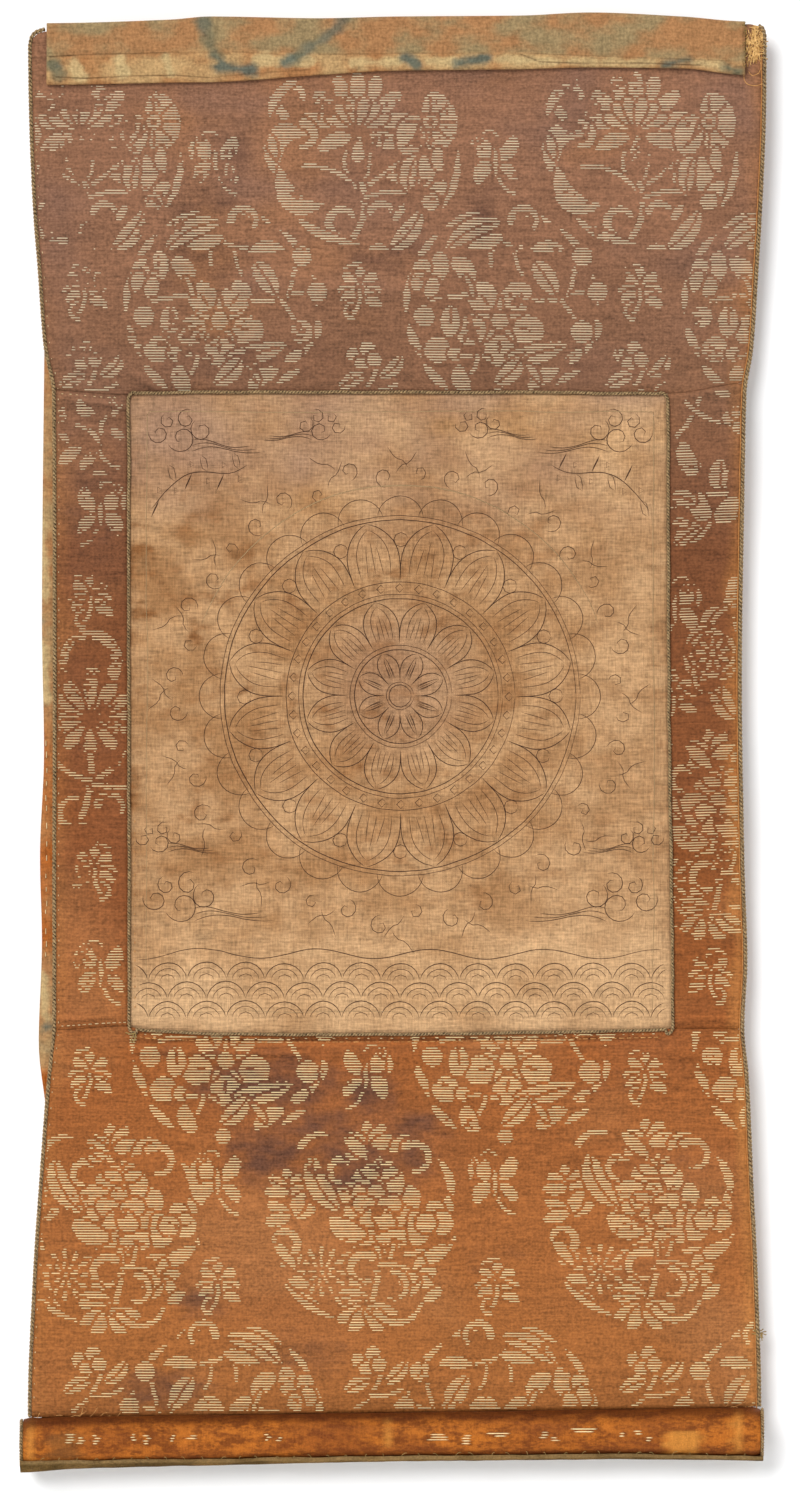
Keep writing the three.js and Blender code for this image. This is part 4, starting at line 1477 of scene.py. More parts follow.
@dataclass
class BrocadeBorder:
    """The four panels of silk round the painting."""

    silk: BrocadeSilk = field(default_factory=BrocadeSilk)
    seam_gap: float = 0.12
    strip_columns: int = 15
    window_columns: int = 104
    top_rows: int = 96
    strip_rows: int = 160
    bottom_rows: int = 120
    stains: tuple[tuple[float, float, float, float, float], ...] = (
        (-86, 86, 20, 9, 0.6), (-72, 62, 12, 14, 0.5), (38, 94, 10, 24, 0.62), (-3, 108, 26, 10, 0.55),
        (-150, 40, 18, 18, 0.4), (-60, 152, 66, 12, 0.5), (80, 158, 44, 9, 0.4), (-20, 46, 44, 14, 0.4),
        (-84, 114, 34, 22, 0.5), (-59, 481, 40, 15, 0.85), (-12, 485, 16, 14, 0.8),
        (-58, 512, 20, 17, 0.85), (-19, 520, 30, 18, 0.85), (8, 515, 12, 15, 0.7),
        (-36, 500, 34, 12, 0.7), (9, 500, 17, 9, 0.75), (-142, 226, 18, 24, 0.45),
        (-40, 74, 46, 9, 0.42), (70, 84, 34, 8, 0.4), (100, 128, 26, 10, 0.38), (-89, 578, 14, 9, 0.7),
        (-106, 618, 24, 10, 0.75), (-40, 603, 36, 12, 0.45), (-86, 466, 34, 8, 0.5),
        (90, 478, 30, 10, 0.4), (40, 560, 30, 16, 0.35), (130, 522, 14, 18, 0.4),
        (-136, 232, 14, 26, 0.4), (-138, 345, 14, 20, 0.35), (138, 215, 16, 14, 0.45),
        (140, 300, 14, 18, 0.3),
    )

    def build(self) -> None:
        """Makes and dresses the panels."""
        material = self.silk.material()
        half = self.seam_gap / 2
        above_upper, below_upper = lowered(FORM.upper_seam, -half), lowered(FORM.upper_seam, half)
        above_lower, below_lower = lowered(FORM.lower_seam, -half), lowered(FORM.lower_seam, half)
        left = np.linspace(0, 1, self.strip_columns + 1)
        window = np.linspace(1, 2, self.window_columns + 1)
        right = np.linspace(2, 3, self.strip_columns + 1)
        whole = np.concatenate([left[:-1], window, right[1:]])
        foot = partial(FORM.seat_on_roll, depth=-FORM.thickness / 2)
        even_top = np.linspace(0, 1, self.top_rows + 1)
        even_strip = np.linspace(0, 1, self.strip_rows + 1)
        eased = np.linspace(0, 1, self.bottom_rows + 1) ** 1.3
        panels = (
            ("brocade_top", whole, even_top, FORM.brocade_top, above_upper, (0.333, 0.164)),
            ("brocade_left", left, even_strip, below_upper, above_lower, (0.032, 0.288)),
            ("brocade_right", right, even_strip, below_upper, above_lower, (0.033, 0.288)),
            ("brocade_bottom", whole, eased, below_lower, foot, (0.330, 0.174)),
        )
        for node, bands, shares, top, bottom, flat in panels:
            x, drop = FORM.grid(bands, shares, top, bottom)
            front, back = FORM.front(x, drop), FORM.front(x, drop, -FORM.thickness)
            piece = closed_sheet(f"{node}_silk", front, back)
            # The "fold" number is painted shade and highlight along the creases.
            numbers = {"stain": self.stain(x, drop), "edge": self.edge(x, drop), "fold": self.fold(x, drop)}
            keep_on_both_sides(piece, numbers)
            dress(piece, material, "silk_brocade")
            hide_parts(node)

    def stain(self, x: np.ndarray, drop: np.ndarray) -> np.ndarray:
        """How dark the stains are at each place.

        Args:
            x: Places from left to right.
            drop: How far each place lies below the heading's top edge.

        Returns:
            The darkness of each place, from 0 to 1.
        """
        total = np.zeros(x.shape)
        for middle_x, middle_drop, reach_x, reach_drop, strength in self.stains:
            away = np.hypot((x - middle_x) / reach_x, (drop - middle_drop) / reach_drop)
            total = np.maximum(total, strength * np.exp(-(away**2) * 0.8))
        return total

    def fold(self, x: np.ndarray, drop: np.ndarray) -> np.ndarray:
        """Painted shade on the lower flank of each crease, and below zero a painted highlight on its upper
        flank.

        Args:
            x: Places from left to right.
            drop: How far each place lies below the heading's top edge.

        Returns:
            The painted shade of each place, or below zero its painted highlight.
        """
        total = np.zeros(x.shape)
        for crease in FORM.creases:
            total = total + crease.lift_at(x, drop - 0.9) - crease.lift_at(x, drop + 0.9)
        return np.clip(1.6 * total, -0.5, 0.8)

    def edge(self, x: np.ndarray, drop: np.ndarray) -> np.ndarray:
        """How far the orange of the sides has come through at each place.

        Args:
            x: Places from left to right.
            drop: How far each place lies below the heading's top edge.

        Returns:
            The share of orange at each place.
        """
        inward = np.minimum(x + FORM.brocade_left(drop), FORM.brocade_right(drop) - x)
        wander = 2.6 * mottle(x / 6, drop / 16, 21)
        foot = smooth(drop, 60, 420)
        side = 0.3 + 0.7 * smooth(x, -20, 20)
        return smooth(inward + wander, 10, 2.4) * (0.25 + 0.5 * foot) * side


@dataclass
class GoldWeft:
    """The gold of the woven flowers: a strip for each stretch in which a weft shows."""

    gilt: GiltWeft = field(default_factory=GiltWeft)
    pitch: float = 1.2
    half_width: float = 0.28
    proud: float = 0.17
    margin: float = 1.05
    sample: float = 0.25
    shortest: float = 0.7
    longest_step: float = 6.0
    top_motifs: tuple[Placed, ...] = (
        *in_a_row(Motif.LOTUS, 62.6, -140.4, -15.8, 109.4),
        *in_a_row(Motif.PRUNUS, 130.1, -78.8, 47.3, 172.4),
        *in_a_row(Motif.BUTTERFLY, 67.1, -81.9, 44.1),
        *in_a_row(Motif.SPRAY, 123.3, -140.4, -16.7, 109.4),
        *in_a_row(Motif.LEAF_PAIR, 161.6, -138.2, -12.2, 108.0),
    )
    left_motifs: tuple[Placed, ...] = (
        Placed(Motif.FORKED_TWIG, -136.4, 187.0),
        Placed(Motif.BUTTERFLY, -133.0, 225.0, True),
        Placed(Motif.SPRAY, -138.0, 262.0),
        Placed(Motif.LOTUS_TAIL, -138.0, 316.0),
        Placed(Motif.SPRAY, -135.9, 384.3, True),
        Placed(Motif.BUTTERFLY, -133.7, 431.6),
    )
    right_motifs: tuple[Placed, ...] = (
        Placed(Motif.BUD_BRANCH, 139.0, 216.0),
        Placed(Motif.BLOOM_BRANCH, 142.0, 286.7),
        Placed(Motif.BUTTERFLY, 125.4, 268.0, True),
        Placed(Motif.SPRAY, 124.6, 306.0),
        Placed(Motif.PEONY, 138.0, 368.0),
        Placed(Motif.SPRAY, 141.0, 431.6, True),
    )
    bottom_motifs: tuple[Placed, ...] = (
        *in_a_row(Motif.PRUNUS, 463.1, -76.1, 50.9, 176.9),
        Placed(Motif.PEONY, -131.4, 545.4),
        Placed(Motif.PEONY, -15.8, 544.1),
        Placed(Motif.PEONY, 109.4, 542.7),
        *in_a_row(Motif.PRUNUS, 631.8, -77.4, 46.4, 172.4, flipped=True),
        Placed(Motif.SPRAY, -138.2, 476.6),
        Placed(Motif.BUTTERFLY, -13.5, 478.6, True),
        Placed(Motif.SPRAY, 111.6, 476.6),
        *in_a_row(Motif.BUTTERFLY, 526.1, -81.0, 43.7),
        *in_a_row(Motif.SPRAY, 571.1, -80.6, 45.0),
        *in_a_row(Motif.LEAF_PAIR, 613.8, -135.9, -9.9, 113.9),
    )

    def build(self) -> None:
        """Makes and dresses the gold of each panel."""
        material = self.gilt.material()
        above, below = lowered(FORM.upper_seam, -1.0), lowered(FORM.upper_seam, 1.0)
        over, under = lowered(FORM.lower_seam, -1.0), lowered(FORM.lower_seam, 1.2)
        seat = lowered(partial(FORM.seat_on_roll, depth=-0.5), -1.0)
        cover = lowered(FORM.heading_hem, -5.0)
        panels = (
            ("gold_weft_top", self.top_motifs, (0, 3), cover, above, 0.004, 0.29),
            ("gold_weft_left", self.left_motifs, (0, 1), below, over, 0.0, 0.34),
            ("gold_weft_right", self.right_motifs, (2, 3), below, over, -0.03, 0.26),
            ("gold_weft_bottom", self.bottom_motifs, (0, 3), under, seat, 0.002, 0.2),
        )
        for seed, (name, motifs, bands, top, bottom, tilt, wear) in enumerate(panels):
            piece = self.weave(name, motifs, bands, (top, bottom), tilt, wear, seed)
            dress(piece, material, "silk_brocade")

    def mask(self, motifs: tuple[Placed, ...], x: np.ndarray, drop: np.ndarray) -> np.ndarray:
        """Which places of a panel are gold.

        Args:
            motifs: What is woven there.
            x: Places from left to right.
            drop: How far each place lies below the heading's top edge.

        Returns:
            True at each place that is gold.
        """
        gold = np.zeros(x.shape, bool)
        reach = 48.0
        for placed in motifs:
            u, v = x - placed.x, placed.drop - drop
            near = (np.abs(u) < reach) & (np.abs(v) < reach)
            if not near.any():
                continue
            side = -1 if placed.flipped else 1
            local = np.zeros(near.sum(), bool)
            for shape in placed.motif.shapes():
                shape.weave(local, side * u[near], v[near], self.margin)
            gold[near] |= local
        return gold

    def weave(
        self,
        name: str,
        motifs: tuple[Placed, ...],
        bands: tuple[int, int],
        limits: tuple[Callable, Callable],
        tilt: float,
        wear: float,
        seed: int,
    ) -> bpy.types.Object:
        """The gold of one panel.

        Args:
            name: The piece's name.
            motifs: What is woven there.
            bands: The lines between which the panel lies, as HangingForm.band_x counts them.
            limits: The drops at which the gold starts and ends at each x.
            tilt: How far the wefts fall to the right, as a share of their length.
            wear: The share of the gold that has rubbed away.
            seed: Which random draws to use.

        Returns:
            The gold, as one piece.
        """
        chance = np.random.default_rng(100 + seed)
        top, bottom = limits
        drops = np.arange(float(top(0.0)) - 12, float(bottom(0.0)) + 12, self.pitch)
        widest = FORM.band_x(np.array(bands, float), drops.mean())
        xs = np.arange(widest[0] - 14, widest[1] + 14, self.sample)
        x, line = np.meshgrid(xs, drops)
        drop = line + tilt * (x - xs.mean()) + 0.35 * mottle(x / 60, line / 50, 31 + seed)
        jitter = chance.normal(0, 0.22, len(drops))[:, None]
        gold = self.mask(motifs, x + jitter, drop)
        inset = 0.8
        gold &= x > FORM.band_x(np.array(float(bands[0])), drop) + inset
        gold &= x < FORM.band_x(np.array(float(bands[1])), drop) - inset
        gold &= (drop > top(x)) & (drop < bottom(x))
        rubbed = 0.5 * mottle(x / 1.6, line / 1.2, 41 + seed) + 0.7 * mottle(x / 11, line / 8, 51 + seed)
        rubbed = rubbed + 0.5 * smooth(x, -96, -146) * smooth(drop, 220, 60)
        rubbed = rubbed + 0.8 * smooth(x, -154, -160) * smooth(drop, 460, 490)
        gold &= rubbed < 1.2 - 2.2 * wear
        pile = ThreadPile()
        for row in range(len(drops)):
            edges = np.diff(np.concatenate([[0], gold[row].astype(int), [0]]))
            for first, last in zip(np.flatnonzero(edges == 1), np.flatnonzero(edges == -1) - 1):
                start = xs[first] - chance.uniform(0, 0.3)
                end = xs[last] + chance.uniform(0, 0.3)
                if end - start > self.shortest:
                    self.add_float(pile, start, end, (xs, drop[row]), chance)
        return pile.finish(name)

    def add_float(
        self,
        pile: ThreadPile,
        start: float,
        end: float,
        line: tuple[np.ndarray, np.ndarray],
        chance: np.random.Generator,
    ) -> None:
        """Adds one stretch of a weft.

        Args:
            pile: What to add it to.
            start: The x at which it comes up.
            end: The x at which it goes down.
            line: The weft's own line as x and drop.
            chance: Where its small differences come from.
        """
        steps = max(1, math.ceil((end - start) / self.longest_step))
        tip = min(0.35, (end - start) / 4)
        inner = np.linspace(start + tip, end - tip, steps + 1)
        across = np.concatenate([[start], inner, [end]])
        sag = chance.normal(0, 0.035)
        path = np.stack([across, np.interp(across, *line) + sag], 1)
        width = np.full(len(across), self.half_width * chance.uniform(0.82, 1.08))
        pile.add_ribbon(path, width, self.proud, float(chance.uniform(0, 1)))


@dataclass
class Drawing:
    """A made-up drawing of a flower medallion, scrolling clouds and waves, in thin ink lines."""

    middle_x: float = 1.4
    middle_drop: float = 306.0
    half_width: float = 0.18
    proud: float = 0.05
    step: float = 2.2
    margin: float = 2.2
    highest: float = 172.5
    lowest: float = 453.5
    circles: tuple[tuple[float, float], ...] = (
        (5, 1), (6.2, 0.7), (21, 1.1), (23, 0.7), (44, 1.1), (46, 0.7), (51.5, 0.8), (79, 1.1), (81, 0.7),
    )
    puffs: tuple[tuple[float, float, float, float], ...] = (
        (0, 0, 1.0, 200), (-1.5, 0.3, 0.72, 160), (1.3, 0.5, 0.8, 120),
        (0.3, 1.2, 0.7, 60), (-0.9, 1.1, 0.55, 110),
    )
    clouds: tuple[tuple[float, float, float, int], ...] = (
        (98, 116, 7, 1), (36, 120, 5, -1), (98, -94, 8, 1), (108, -66, 5, 1),
    )
    lines: list[tuple[np.ndarray, float, float]] = field(default_factory=list)
    pale: list[tuple[np.ndarray, float, float]] = field(default_factory=list)

    def draw(self, path: np.ndarray, weight: float = 1.0, pale: bool = False) -> None:
        """Adds a line.

        Args:
            path: Its points, right and up from the drawing's middle.
            weight: How wide it is, against the usual width.
            pale: Whether it is drawn in pale colour.
        """
        lengths = np.concatenate([[0], np.cumsum(np.hypot(*np.diff(path, axis=0).T))])
        amount = max(4, round(lengths[-1] / self.step))
        at = np.linspace(0, lengths[-1], amount)
        u = np.interp(at, lengths, path[:, 0])
        v = np.interp(at, lengths, path[:, 1])
        u = u + 0.45 * mottle(u / 24, v / 24, 61) + 0.14 * mottle(u / 5, v / 5, 62)
        v = v + 0.45 * mottle(u / 24, v / 24, 63) + 0.14 * mottle(u / 5, v / 5, 64)
        placed = np.stack([u + self.middle_x, self.middle_drop - v], 1)
        inside = placed[:, 0] > FORM.window_left(placed[:, 1]) + self.margin
        inside &= placed[:, 0] < FORM.window_right(placed[:, 1]) - self.margin
        inside &= (placed[:, 1] > self.highest) & (placed[:, 1] < self.lowest)
        store = self.pale if pale else self.lines
        edges = np.diff(np.concatenate([[0], inside.astype(int), [0]]))
        for first, last in zip(np.flatnonzero(edges == 1), np.flatnonzero(edges == -1)):
            if last - first > 3:
                tone = float(mottle(at[first : first + 1] / 9, at[:1], 65)[0])
                store.append((placed[first:last], weight, tone))

    def ring(
        self,
        radius: float,
        weight: float = 1.0,
        start: float = 0,
        sweep: float = 360,
        middle: Spot = (0, 0),
    ) -> None:
        """Draws a circle or a stretch of one.

        Args:
            radius: Its radius.
            weight: How wide the line is, against the usual width.
            start: The direction in which it starts, in degrees.
            sweep: How far it turns to the left, in degrees.
            middle: Its middle, right and up from the drawing's own.
        """
        angle = np.radians(np.linspace(start, start + sweep, max(8, int(abs(sweep) / 4))))
        self.draw(polar(radius, angle) + np.array(middle), weight)

    def rings_about(self, count: int, reach: float, radius: float, weight: float, turn: float = 0) -> None:
        """Draws equal circles evenly round the middle, or with a turn outward arcs.

        Args:
            count: How many there are.
            reach: How far their middles are from the drawing's own.
            radius: The radius of each.
            weight: How wide the line is, against the usual width.
            turn: How far each arc turns, in degrees, or 0 for whole circles.
        """
        for index in range(count):
            aim = 360 / count * index
            angle = math.radians(aim)
            middle = (reach * math.cos(angle), reach * math.sin(angle))
            if turn:
                self.ring(radius, weight, aim - turn / 2, turn, middle)
            else:
                self.ring(radius, weight, middle=middle)

    def petals(self, count: int, inner: float, outer: float, turn: float, inset: float) -> None:
        """Draws a ring of pointed petals, each with a second outline inside it.

        Args:
            count: How many petals there are.
            inner: The radius at which they start.
            outer: The radius that their tips reach.
            turn: The direction of the first, in degrees.
            inset: How far the second outline stays inside the first.
        """
        half = math.pi / count
        t = np.linspace(0, 1, 15)
        for index in range(count):
            aim = math.radians(turn) + 2 * half * index
            for shrink, weight in ((0.0, 1.0), (inset, 0.7)):
                spread = half * (1 - 1.6 * shrink / (inner * half)) * np.cos(0.5 * np.pi * t**1.7) ** 0.8
                reach = inner + shrink + (outer - inner - 2.2 * shrink) * t
                for side in (-1, 1):
                    self.draw(polar(reach, aim + side * spread), weight)
            for vein in (-0.34, 0.0, 0.34):
                reach = inner + inset + (outer - inner) * (0.62 - 0.3 * abs(vein)) * t
                self.draw(polar(reach, aim + vein * half * (1 - 0.5 * t)), 0.6)

    def cloud(self, u: float, v: float, size: float, side: int) -> None:
        """Draws a scrolling cloud with a tail.

        Args:
            u: Its place to the right of the drawing's middle.
            v: Its place above that.
            size: The radius of its greatest curl.
            side: 1 where its tail runs to the right, and -1 to the left.
        """
        t = np.linspace(0, 1, 26)
        for across, up, share, start in self.puffs:
            middle = np.array([u + side * across * size, v + up * size])
            spiral = polar(size * share * (1 - 0.72 * t), np.radians(start + 430 * t))
            self.draw(middle + spiral * (side, 1), 0.95)
        t = np.linspace(0, 1, 24)
        for offset in (0.0, 0.35, 0.7):
            along = u + side * size * (0.6 + (4.6 - offset) * t)
            up = v - size * (0.9 - offset * 0.6) + size * 0.5 * np.sin(4.4 * t + offset) * (1 - t)
            self.draw(np.stack([along, up], 1), 0.85)

    def medallion(self) -> None:
        """Draws the flower medallion in the middle."""
        for radius, weight in self.circles:
            self.ring(radius, weight)
        self.petals(8, 6.5, 20.5, 22.5, 1.3)
        self.petals(12, 23.5, 43.5, 15, 1.7)
        self.petals(16, 52, 78.5, 11.25, 2.4)
        self.rings_about(16, 70, 3.2, 0.8)
        self.rings_about(36, 48.8, 1.9, 0.9)
        self.rings_about(28, 80, 10.2, 0.8, 184)

    def waves(self) -> None:
        """Draws rows of wave scales along the foot."""
        for row in range(3):
            for column in range(-7, 8):
                middle = (17.4 * column + 8.7 * (row % 2), -146 + 8.6 * (2 - row))
                for radius, weight in ((8.7, 1.0), (6.2, 0.7), (3.6, 0.7)):
                    self.ring(radius, weight, 8, 164, middle)
        crest = np.linspace(-118, 118, 90)
        self.draw(np.stack([crest, -116 + 2.2 * np.sin(crest / 8.2)], 1), 1.0)

    def wreath(self) -> None:
        """Draws the curls with waving tails that go round the medallion."""
        t = np.linspace(0, 1, 20)
        for index in range(40):
            angle = math.radians(9 * index + 4)
            side = 1 if index % 2 else -1
            reach = 97.5 + 3.5 * (index % 2) + 1.5 * (index % 3)
            middle = reach * np.array([math.cos(angle), math.sin(angle)])
            size = (4.9 - 1.3 * (index % 3 == 0)) * (1 - 0.76 * t)
            self.draw(middle + polar(size, angle + math.pi + side * np.radians(400 * t)), 0.85)
            far = reach + 1.5 + 9.5 * t + 1.1 * np.sin(7 * t)
            self.draw(polar(far, angle + side * (0.05 + 0.09 * t)), 0.75)

    def sprays(self) -> None:
        """Draws a flowering twig in each upper corner."""
        s = np.linspace(0, 1, 16)
        for side in (-1, 1):
            twig_u = side * (112 - 44 * s)
            twig_v = 84 + 26 * s + 6 * np.sin(5 * s)
            self.draw(np.stack([twig_u, twig_v], 1), 1.0)
            for index in range(6):
                share = (index + 0.5) / 6
                base_u = side * (112 - 44 * share)
                base_v = 84 + 26 * share + 6 * math.sin(5 * share)
                lean = 1 if index % 2 else -1
                for bow in (-1, 1):
                    leaf_u = base_u + side * 3.5 * s
                    leaf_v = base_v + lean * (8 * s) + bow * 1.8 * np.sin(np.pi * s)
                    self.draw(np.stack([leaf_u + bow * np.sin(np.pi * s), leaf_v], 1), 0.75)
                self.ring(1.5, 0.75, middle=(base_u, base_v - lean * 4))

    def frame_lines(self) -> None:
        """Draws the pale ruled frame, and a pale arc over the medallion."""
        half_u, up, down = 114, 128, -142
        corners = np.array([[-half_u, down], [half_u, down], [half_u, up], [-half_u, up], [-half_u, down]])
        self.draw(corners, 0.8, pale=True)
        self.draw(polar(95.0, np.radians(np.linspace(20, 160, 60))), 1.1, pale=True)

    def compose(self) -> None:
        """Draws everything."""
        self.medallion()
        self.wreath()
        for u, v, size, side in self.clouds:
            for half in (-1, 1):
                self.cloud(half * u, v, size, -half * side)
        self.sprays()
        self.waves()
        self.frame_lines()

    def build(self) -> None:
        """Makes and dresses the lines."""
        self.compose()
        inks = (
            ("ink_drawing", self.lines, InkLine("brown ink", (84, 56, 42), (150, 110, 80))),
            ("pale_drawing", self.pale, InkLine("pale line colour", (206, 170, 124), (232, 204, 160))),
        )
        for name, lines, ink in inks:
            pile = ThreadPile()
            for path, weight, tone in lines:
                fade = np.sin(np.pi * np.linspace(0.06, 0.94, len(path))) ** 0.35
                width = self.half_width * weight * fade
                pile.add_ribbon(path, width, self.proud - FORM.linen_recess, tone)
            piece = pile.finish(name)
            dress(piece, ink.material(), "painted_linen")


@dataclass
class PaintedPanel:
    """The linen that carries the drawing."""

    linen: PaintedLinen = field(default_factory=PaintedLinen)
    columns: int = 112
    rows: int = 130

    def build(self) -> None:
        """Makes and dresses the linen."""
        bands, shares = np.linspace(1, 2, self.columns + 1), np.linspace(0, 1, self.rows + 1)
        x, drop = FORM.grid(bands, shares, FORM.upper_seam, FORM.lower_seam)
        front = FORM.front(x, drop, -FORM.linen_recess)
        back = FORM.front(x, drop, -FORM.linen_recess - FORM.thickness)
        piece = closed_sheet("painted_linen_sheet", front, back)
        numbers = {"mauve": self.mauve(x, drop), "brown": self.brown(x, drop), "pale": self.pale(x, drop)}
        keep_on_both_sides(piece, numbers)
        dress(piece, self.linen.material(), "painted_linen")
        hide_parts("painted_panel")

    def mauve(self, x: np.ndarray, drop: np.ndarray) -> np.ndarray:
        """The pinkish grey clouds at the top.

        Args:
            x: Places from left to right.
            drop: How far each place lies below the heading's top edge.

        Returns:
            The share of mauve at each place.
        """
        cloud = 0.5 + 0.6 * mottle(x / 34, drop / 17, 71) + 0.25 * mottle(x / 11, drop / 8, 72)
        corner = smooth(np.hypot(x + 100, (drop - 190) * 1.4), 52, 8)
        centre = 0.55 * smooth(np.hypot(x - 1, drop - 300), 50, 12)
        return np.clip(cloud * smooth(drop, 262, 178) + 0.6 * corner + centre, 0, 1) * 0.85

    def brown(self, x: np.ndarray, drop: np.ndarray) -> np.ndarray:
        """The browner blotches, most of them at the left and in the middle.

        Args:
            x: Places from left to right.
            drop: How far each place lies below the heading's top edge.

        Returns:
            The share of brown at each place.
        """
        cloud = mottle(x / 22, drop / 20, 73) + 0.7 * mottle(x / 8, drop / 10, 74)
        left = smooth(x, -40, -118) * smooth(np.abs(drop - 285), 90, 30)
        middle = smooth(np.hypot(x - 6, (drop - 305) * 0.9), 80, 20)
        edge = smooth(np.minimum(x - FORM.window_left(drop), FORM.window_right(drop) - x), 12, 2)
        whole = 0.42 * smooth(drop, 196, 236) * smooth(drop, 440, 376)
        blotch = 0.34 * smooth(cloud, -0.2, 1.2) * (0.35 + 0.7 * left + 0.5 * middle)
        return np.clip(whole + blotch + 0.25 * edge, 0, 0.75)

    def pale(self, x: np.ndarray, drop: np.ndarray) -> np.ndarray:
        """The paler stretch at the foot and at the right."""
        cloud = 0.6 + 0.5 * mottle(x / 28, drop / 15, 75)
        return np.clip(0.7 * cloud * smooth(drop, 385, 440) + 0.2 * smooth(x, 40, 120), 0, 0.8)


@dataclass(frozen=True)
class Patch:
    """A printed stroke on the heading: a bent line of places as x and drop, and half its width."""

    places: tuple[Spot, ...]
    half_width: float

    def distance(self, x: np.ndarray, drop: np.ndarray) -> np.ndarray:
        """How far each place is from the patch's outline, below zero inside it."""
        shape = WovenShape(np.array(self.places), np.full(len(self.places), self.half_width))
        return shape.distance(x, drop)


@dataclass
class PrintedLining:
    """One printed cloth: the lining, turned over the top as the heading, with its hem."""

    cotton: PrintedCotton = field(default_factory=PrintedCotton)
    cloth: float = 0.8
    columns: int = 200
    front_rows: int = 104
    back_rows: int = 110
    hem_table: tuple[tuple[float, float, float], ...] = (
        (1.65, 0.62, 0.0),
        (1.7, 1.0, 1.2),
        (2.5, 1.0, 0.5),
        (3.3, 1.0, 1.1),
        (3.6, 0.7, 0.1),
        (3.2, 0.35, 0.0),
    )
    flap_table: tuple[tuple[float, float], ...] = ((1.65, 1.0), (2.1, 0.84), (1.7, 0.4))
    blue_patches: tuple[Patch, ...] = (
        Patch(((-155.5, 22), (-152.5, 26)), 3.2),
        Patch(((-87, 2), (-85, 9)), 3.4),
        Patch(((-85, 9), (-82, 18), (-78, 22)), 2.5),
        Patch(((-80, 23), (-66, 24.5)), 2.7),
        Patch(((-23, 0), (-27, 5)), 3.0),
        Patch(((-27, 5), (-38, 14)), 2.0),
        Patch(((-38, 14), (-50, 21)), 2.7),
        Patch(((4, 18.5), (9, 22.5)), 2.5),
        Patch(((27, 22), (40, 19)), 2.3),
        Patch(((120, 22.5), (131, 19.5)), 2.0),
        Patch(((148.5, 23.5), (154, 25.5)), 2.4),
        Patch(((-161, 273), (-157, 276)), 1.5),
        Patch(((-161, 458), (-157, 454)), 1.4),
        Patch(((-161, 464), (-158, 465)), 1.2),
    )
    cream_patches: tuple[Patch, ...] = (
        Patch(((-145, 22), (-142, 27)), 2.8),
        Patch(((-125, 20), (-123, 26)), 2.4),
        Patch(((-104, 18), (-102, 26)), 2.2),
        Patch(((-62, 20), (-40, 20)), 2.6),
        Patch(((-20, 21), (0, 21)), 2.0),
        Patch(((14, 20), (26, 21)), 2.2),
        Patch(((46, 20), (116, 21.5)), 1.7),
        Patch(((134, 21.5), (146, 22.5)), 1.8),
        Patch(((-160, 226), (-158, 262)), 2.0),
        Patch(((-160, 282), (-158, 308)), 2.4),
        Patch(((-160, 430), (-158, 450)), 2.4),
    )
    fold_lines: tuple[tuple[tuple[Spot, ...], float], ...] = (
        (((-156, 18.4), (-140, 17.4), (-118, 17.0), (-104, 16.6)), 0.9),
        (((-104, 16.6), (-70, 16.4), (-52, 17.6)), 0.4),
        (((-35, 17.4), (0, 17.0), (40, 16.8)), 0.45),
        (((55, 17.2), (64, 20.8), (80, 21.4), (110, 21.4), (136, 22.4)), 0.95),
        (((60, 17.0), (100, 18.6), (150, 20.4)), 0.5),
        (((-154, 27.6), (-140, 28.2), (-118, 27.0), (-100, 26.8), (-84, 27.8)), 0.9),
        (((-154, 27.6), (-156, 30.0)), 0.8),
        (((-152, 30.0), (-148, 27.8)), 0.5),
        (((-84, 27.8), (-60, 25.6), (-40, 24.4)), 0.45),
    )

    def build(self) -> None:
        """Makes and dresses the cloth."""
        points = self.middle_points()
        piece = self.thicken(points)
        x, drop = points[..., 0], -points[..., 2]
        on_front = points[..., 1] - FORM.relief(x, drop) < 0.6
        seen = on_front | (x < -FORM.brocade_left(drop) + 8)
        numbers = {
            "blue": np.where(seen, self.nearest(self.blue_patches, x, drop), self.scattered(x, drop, 81)),
            "cream": np.where(seen, self.nearest(self.cream_patches, x, drop), self.scattered(x, drop, 83)),
            "orange": np.where(on_front, 0.0, self.orange(x, drop)),
            "band": np.where(on_front, smooth(drop - FORM.heading_crease(x), -1.2, 1.2), 0.7),
            # Painted shade along the heading's folds and the hem's lower edge.
            "crease": np.where(on_front, self.painted_fold_shade(x, drop), 0.0),
        }
        keep_on_both_sides(piece, numbers)
        dress(piece, self.cotton.material(), "printed_cotton")
        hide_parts("lining")

    def orange(self, x: np.ndarray, drop: np.ndarray) -> np.ndarray:
        """How orange the lining's left edge has become at each place.

        Args:
            x: Places from left to right.
            drop: How far each place lies below the heading's top edge.

        Returns:
            The share of orange at each place.
        """
        upper = smooth(drop, 308, 326) * smooth(drop, 428, 418)
        lower = smooth(drop, 470, 476) * smooth(drop, 498, 486)
        patchy = 0.75 + 0.25 * mottle(x / 6, drop / 9, 87)
        return (upper + lower) * patchy * smooth(x, -150, -155)

    def nearest(self, patches: tuple[Patch, ...], x: np.ndarray, drop: np.ndarray) -> np.ndarray:
        """How far each place is from the nearest of some patches."""
        return np.minimum.reduce([patch.distance(x, drop) for patch in patches])

    def along_folds(self, x: np.ndarray, drop: np.ndarray, width: float) -> np.ndarray:
        """How near the heading's folds each place is, up to their strength.

        Args:
            x: Places from left to right.
            drop: How far each place lies below the heading's top edge.
            width: How far the mark of a fold spreads.

        Returns:
            The nearness of each place, from 0 to 1.
        """
        total = np.zeros(x.shape)
        for places, strength in self.fold_lines:
            away = Patch(places, 0.0).distance(x, drop) / width
            total = np.maximum(total, strength * np.exp(-(away**2)))
        return total

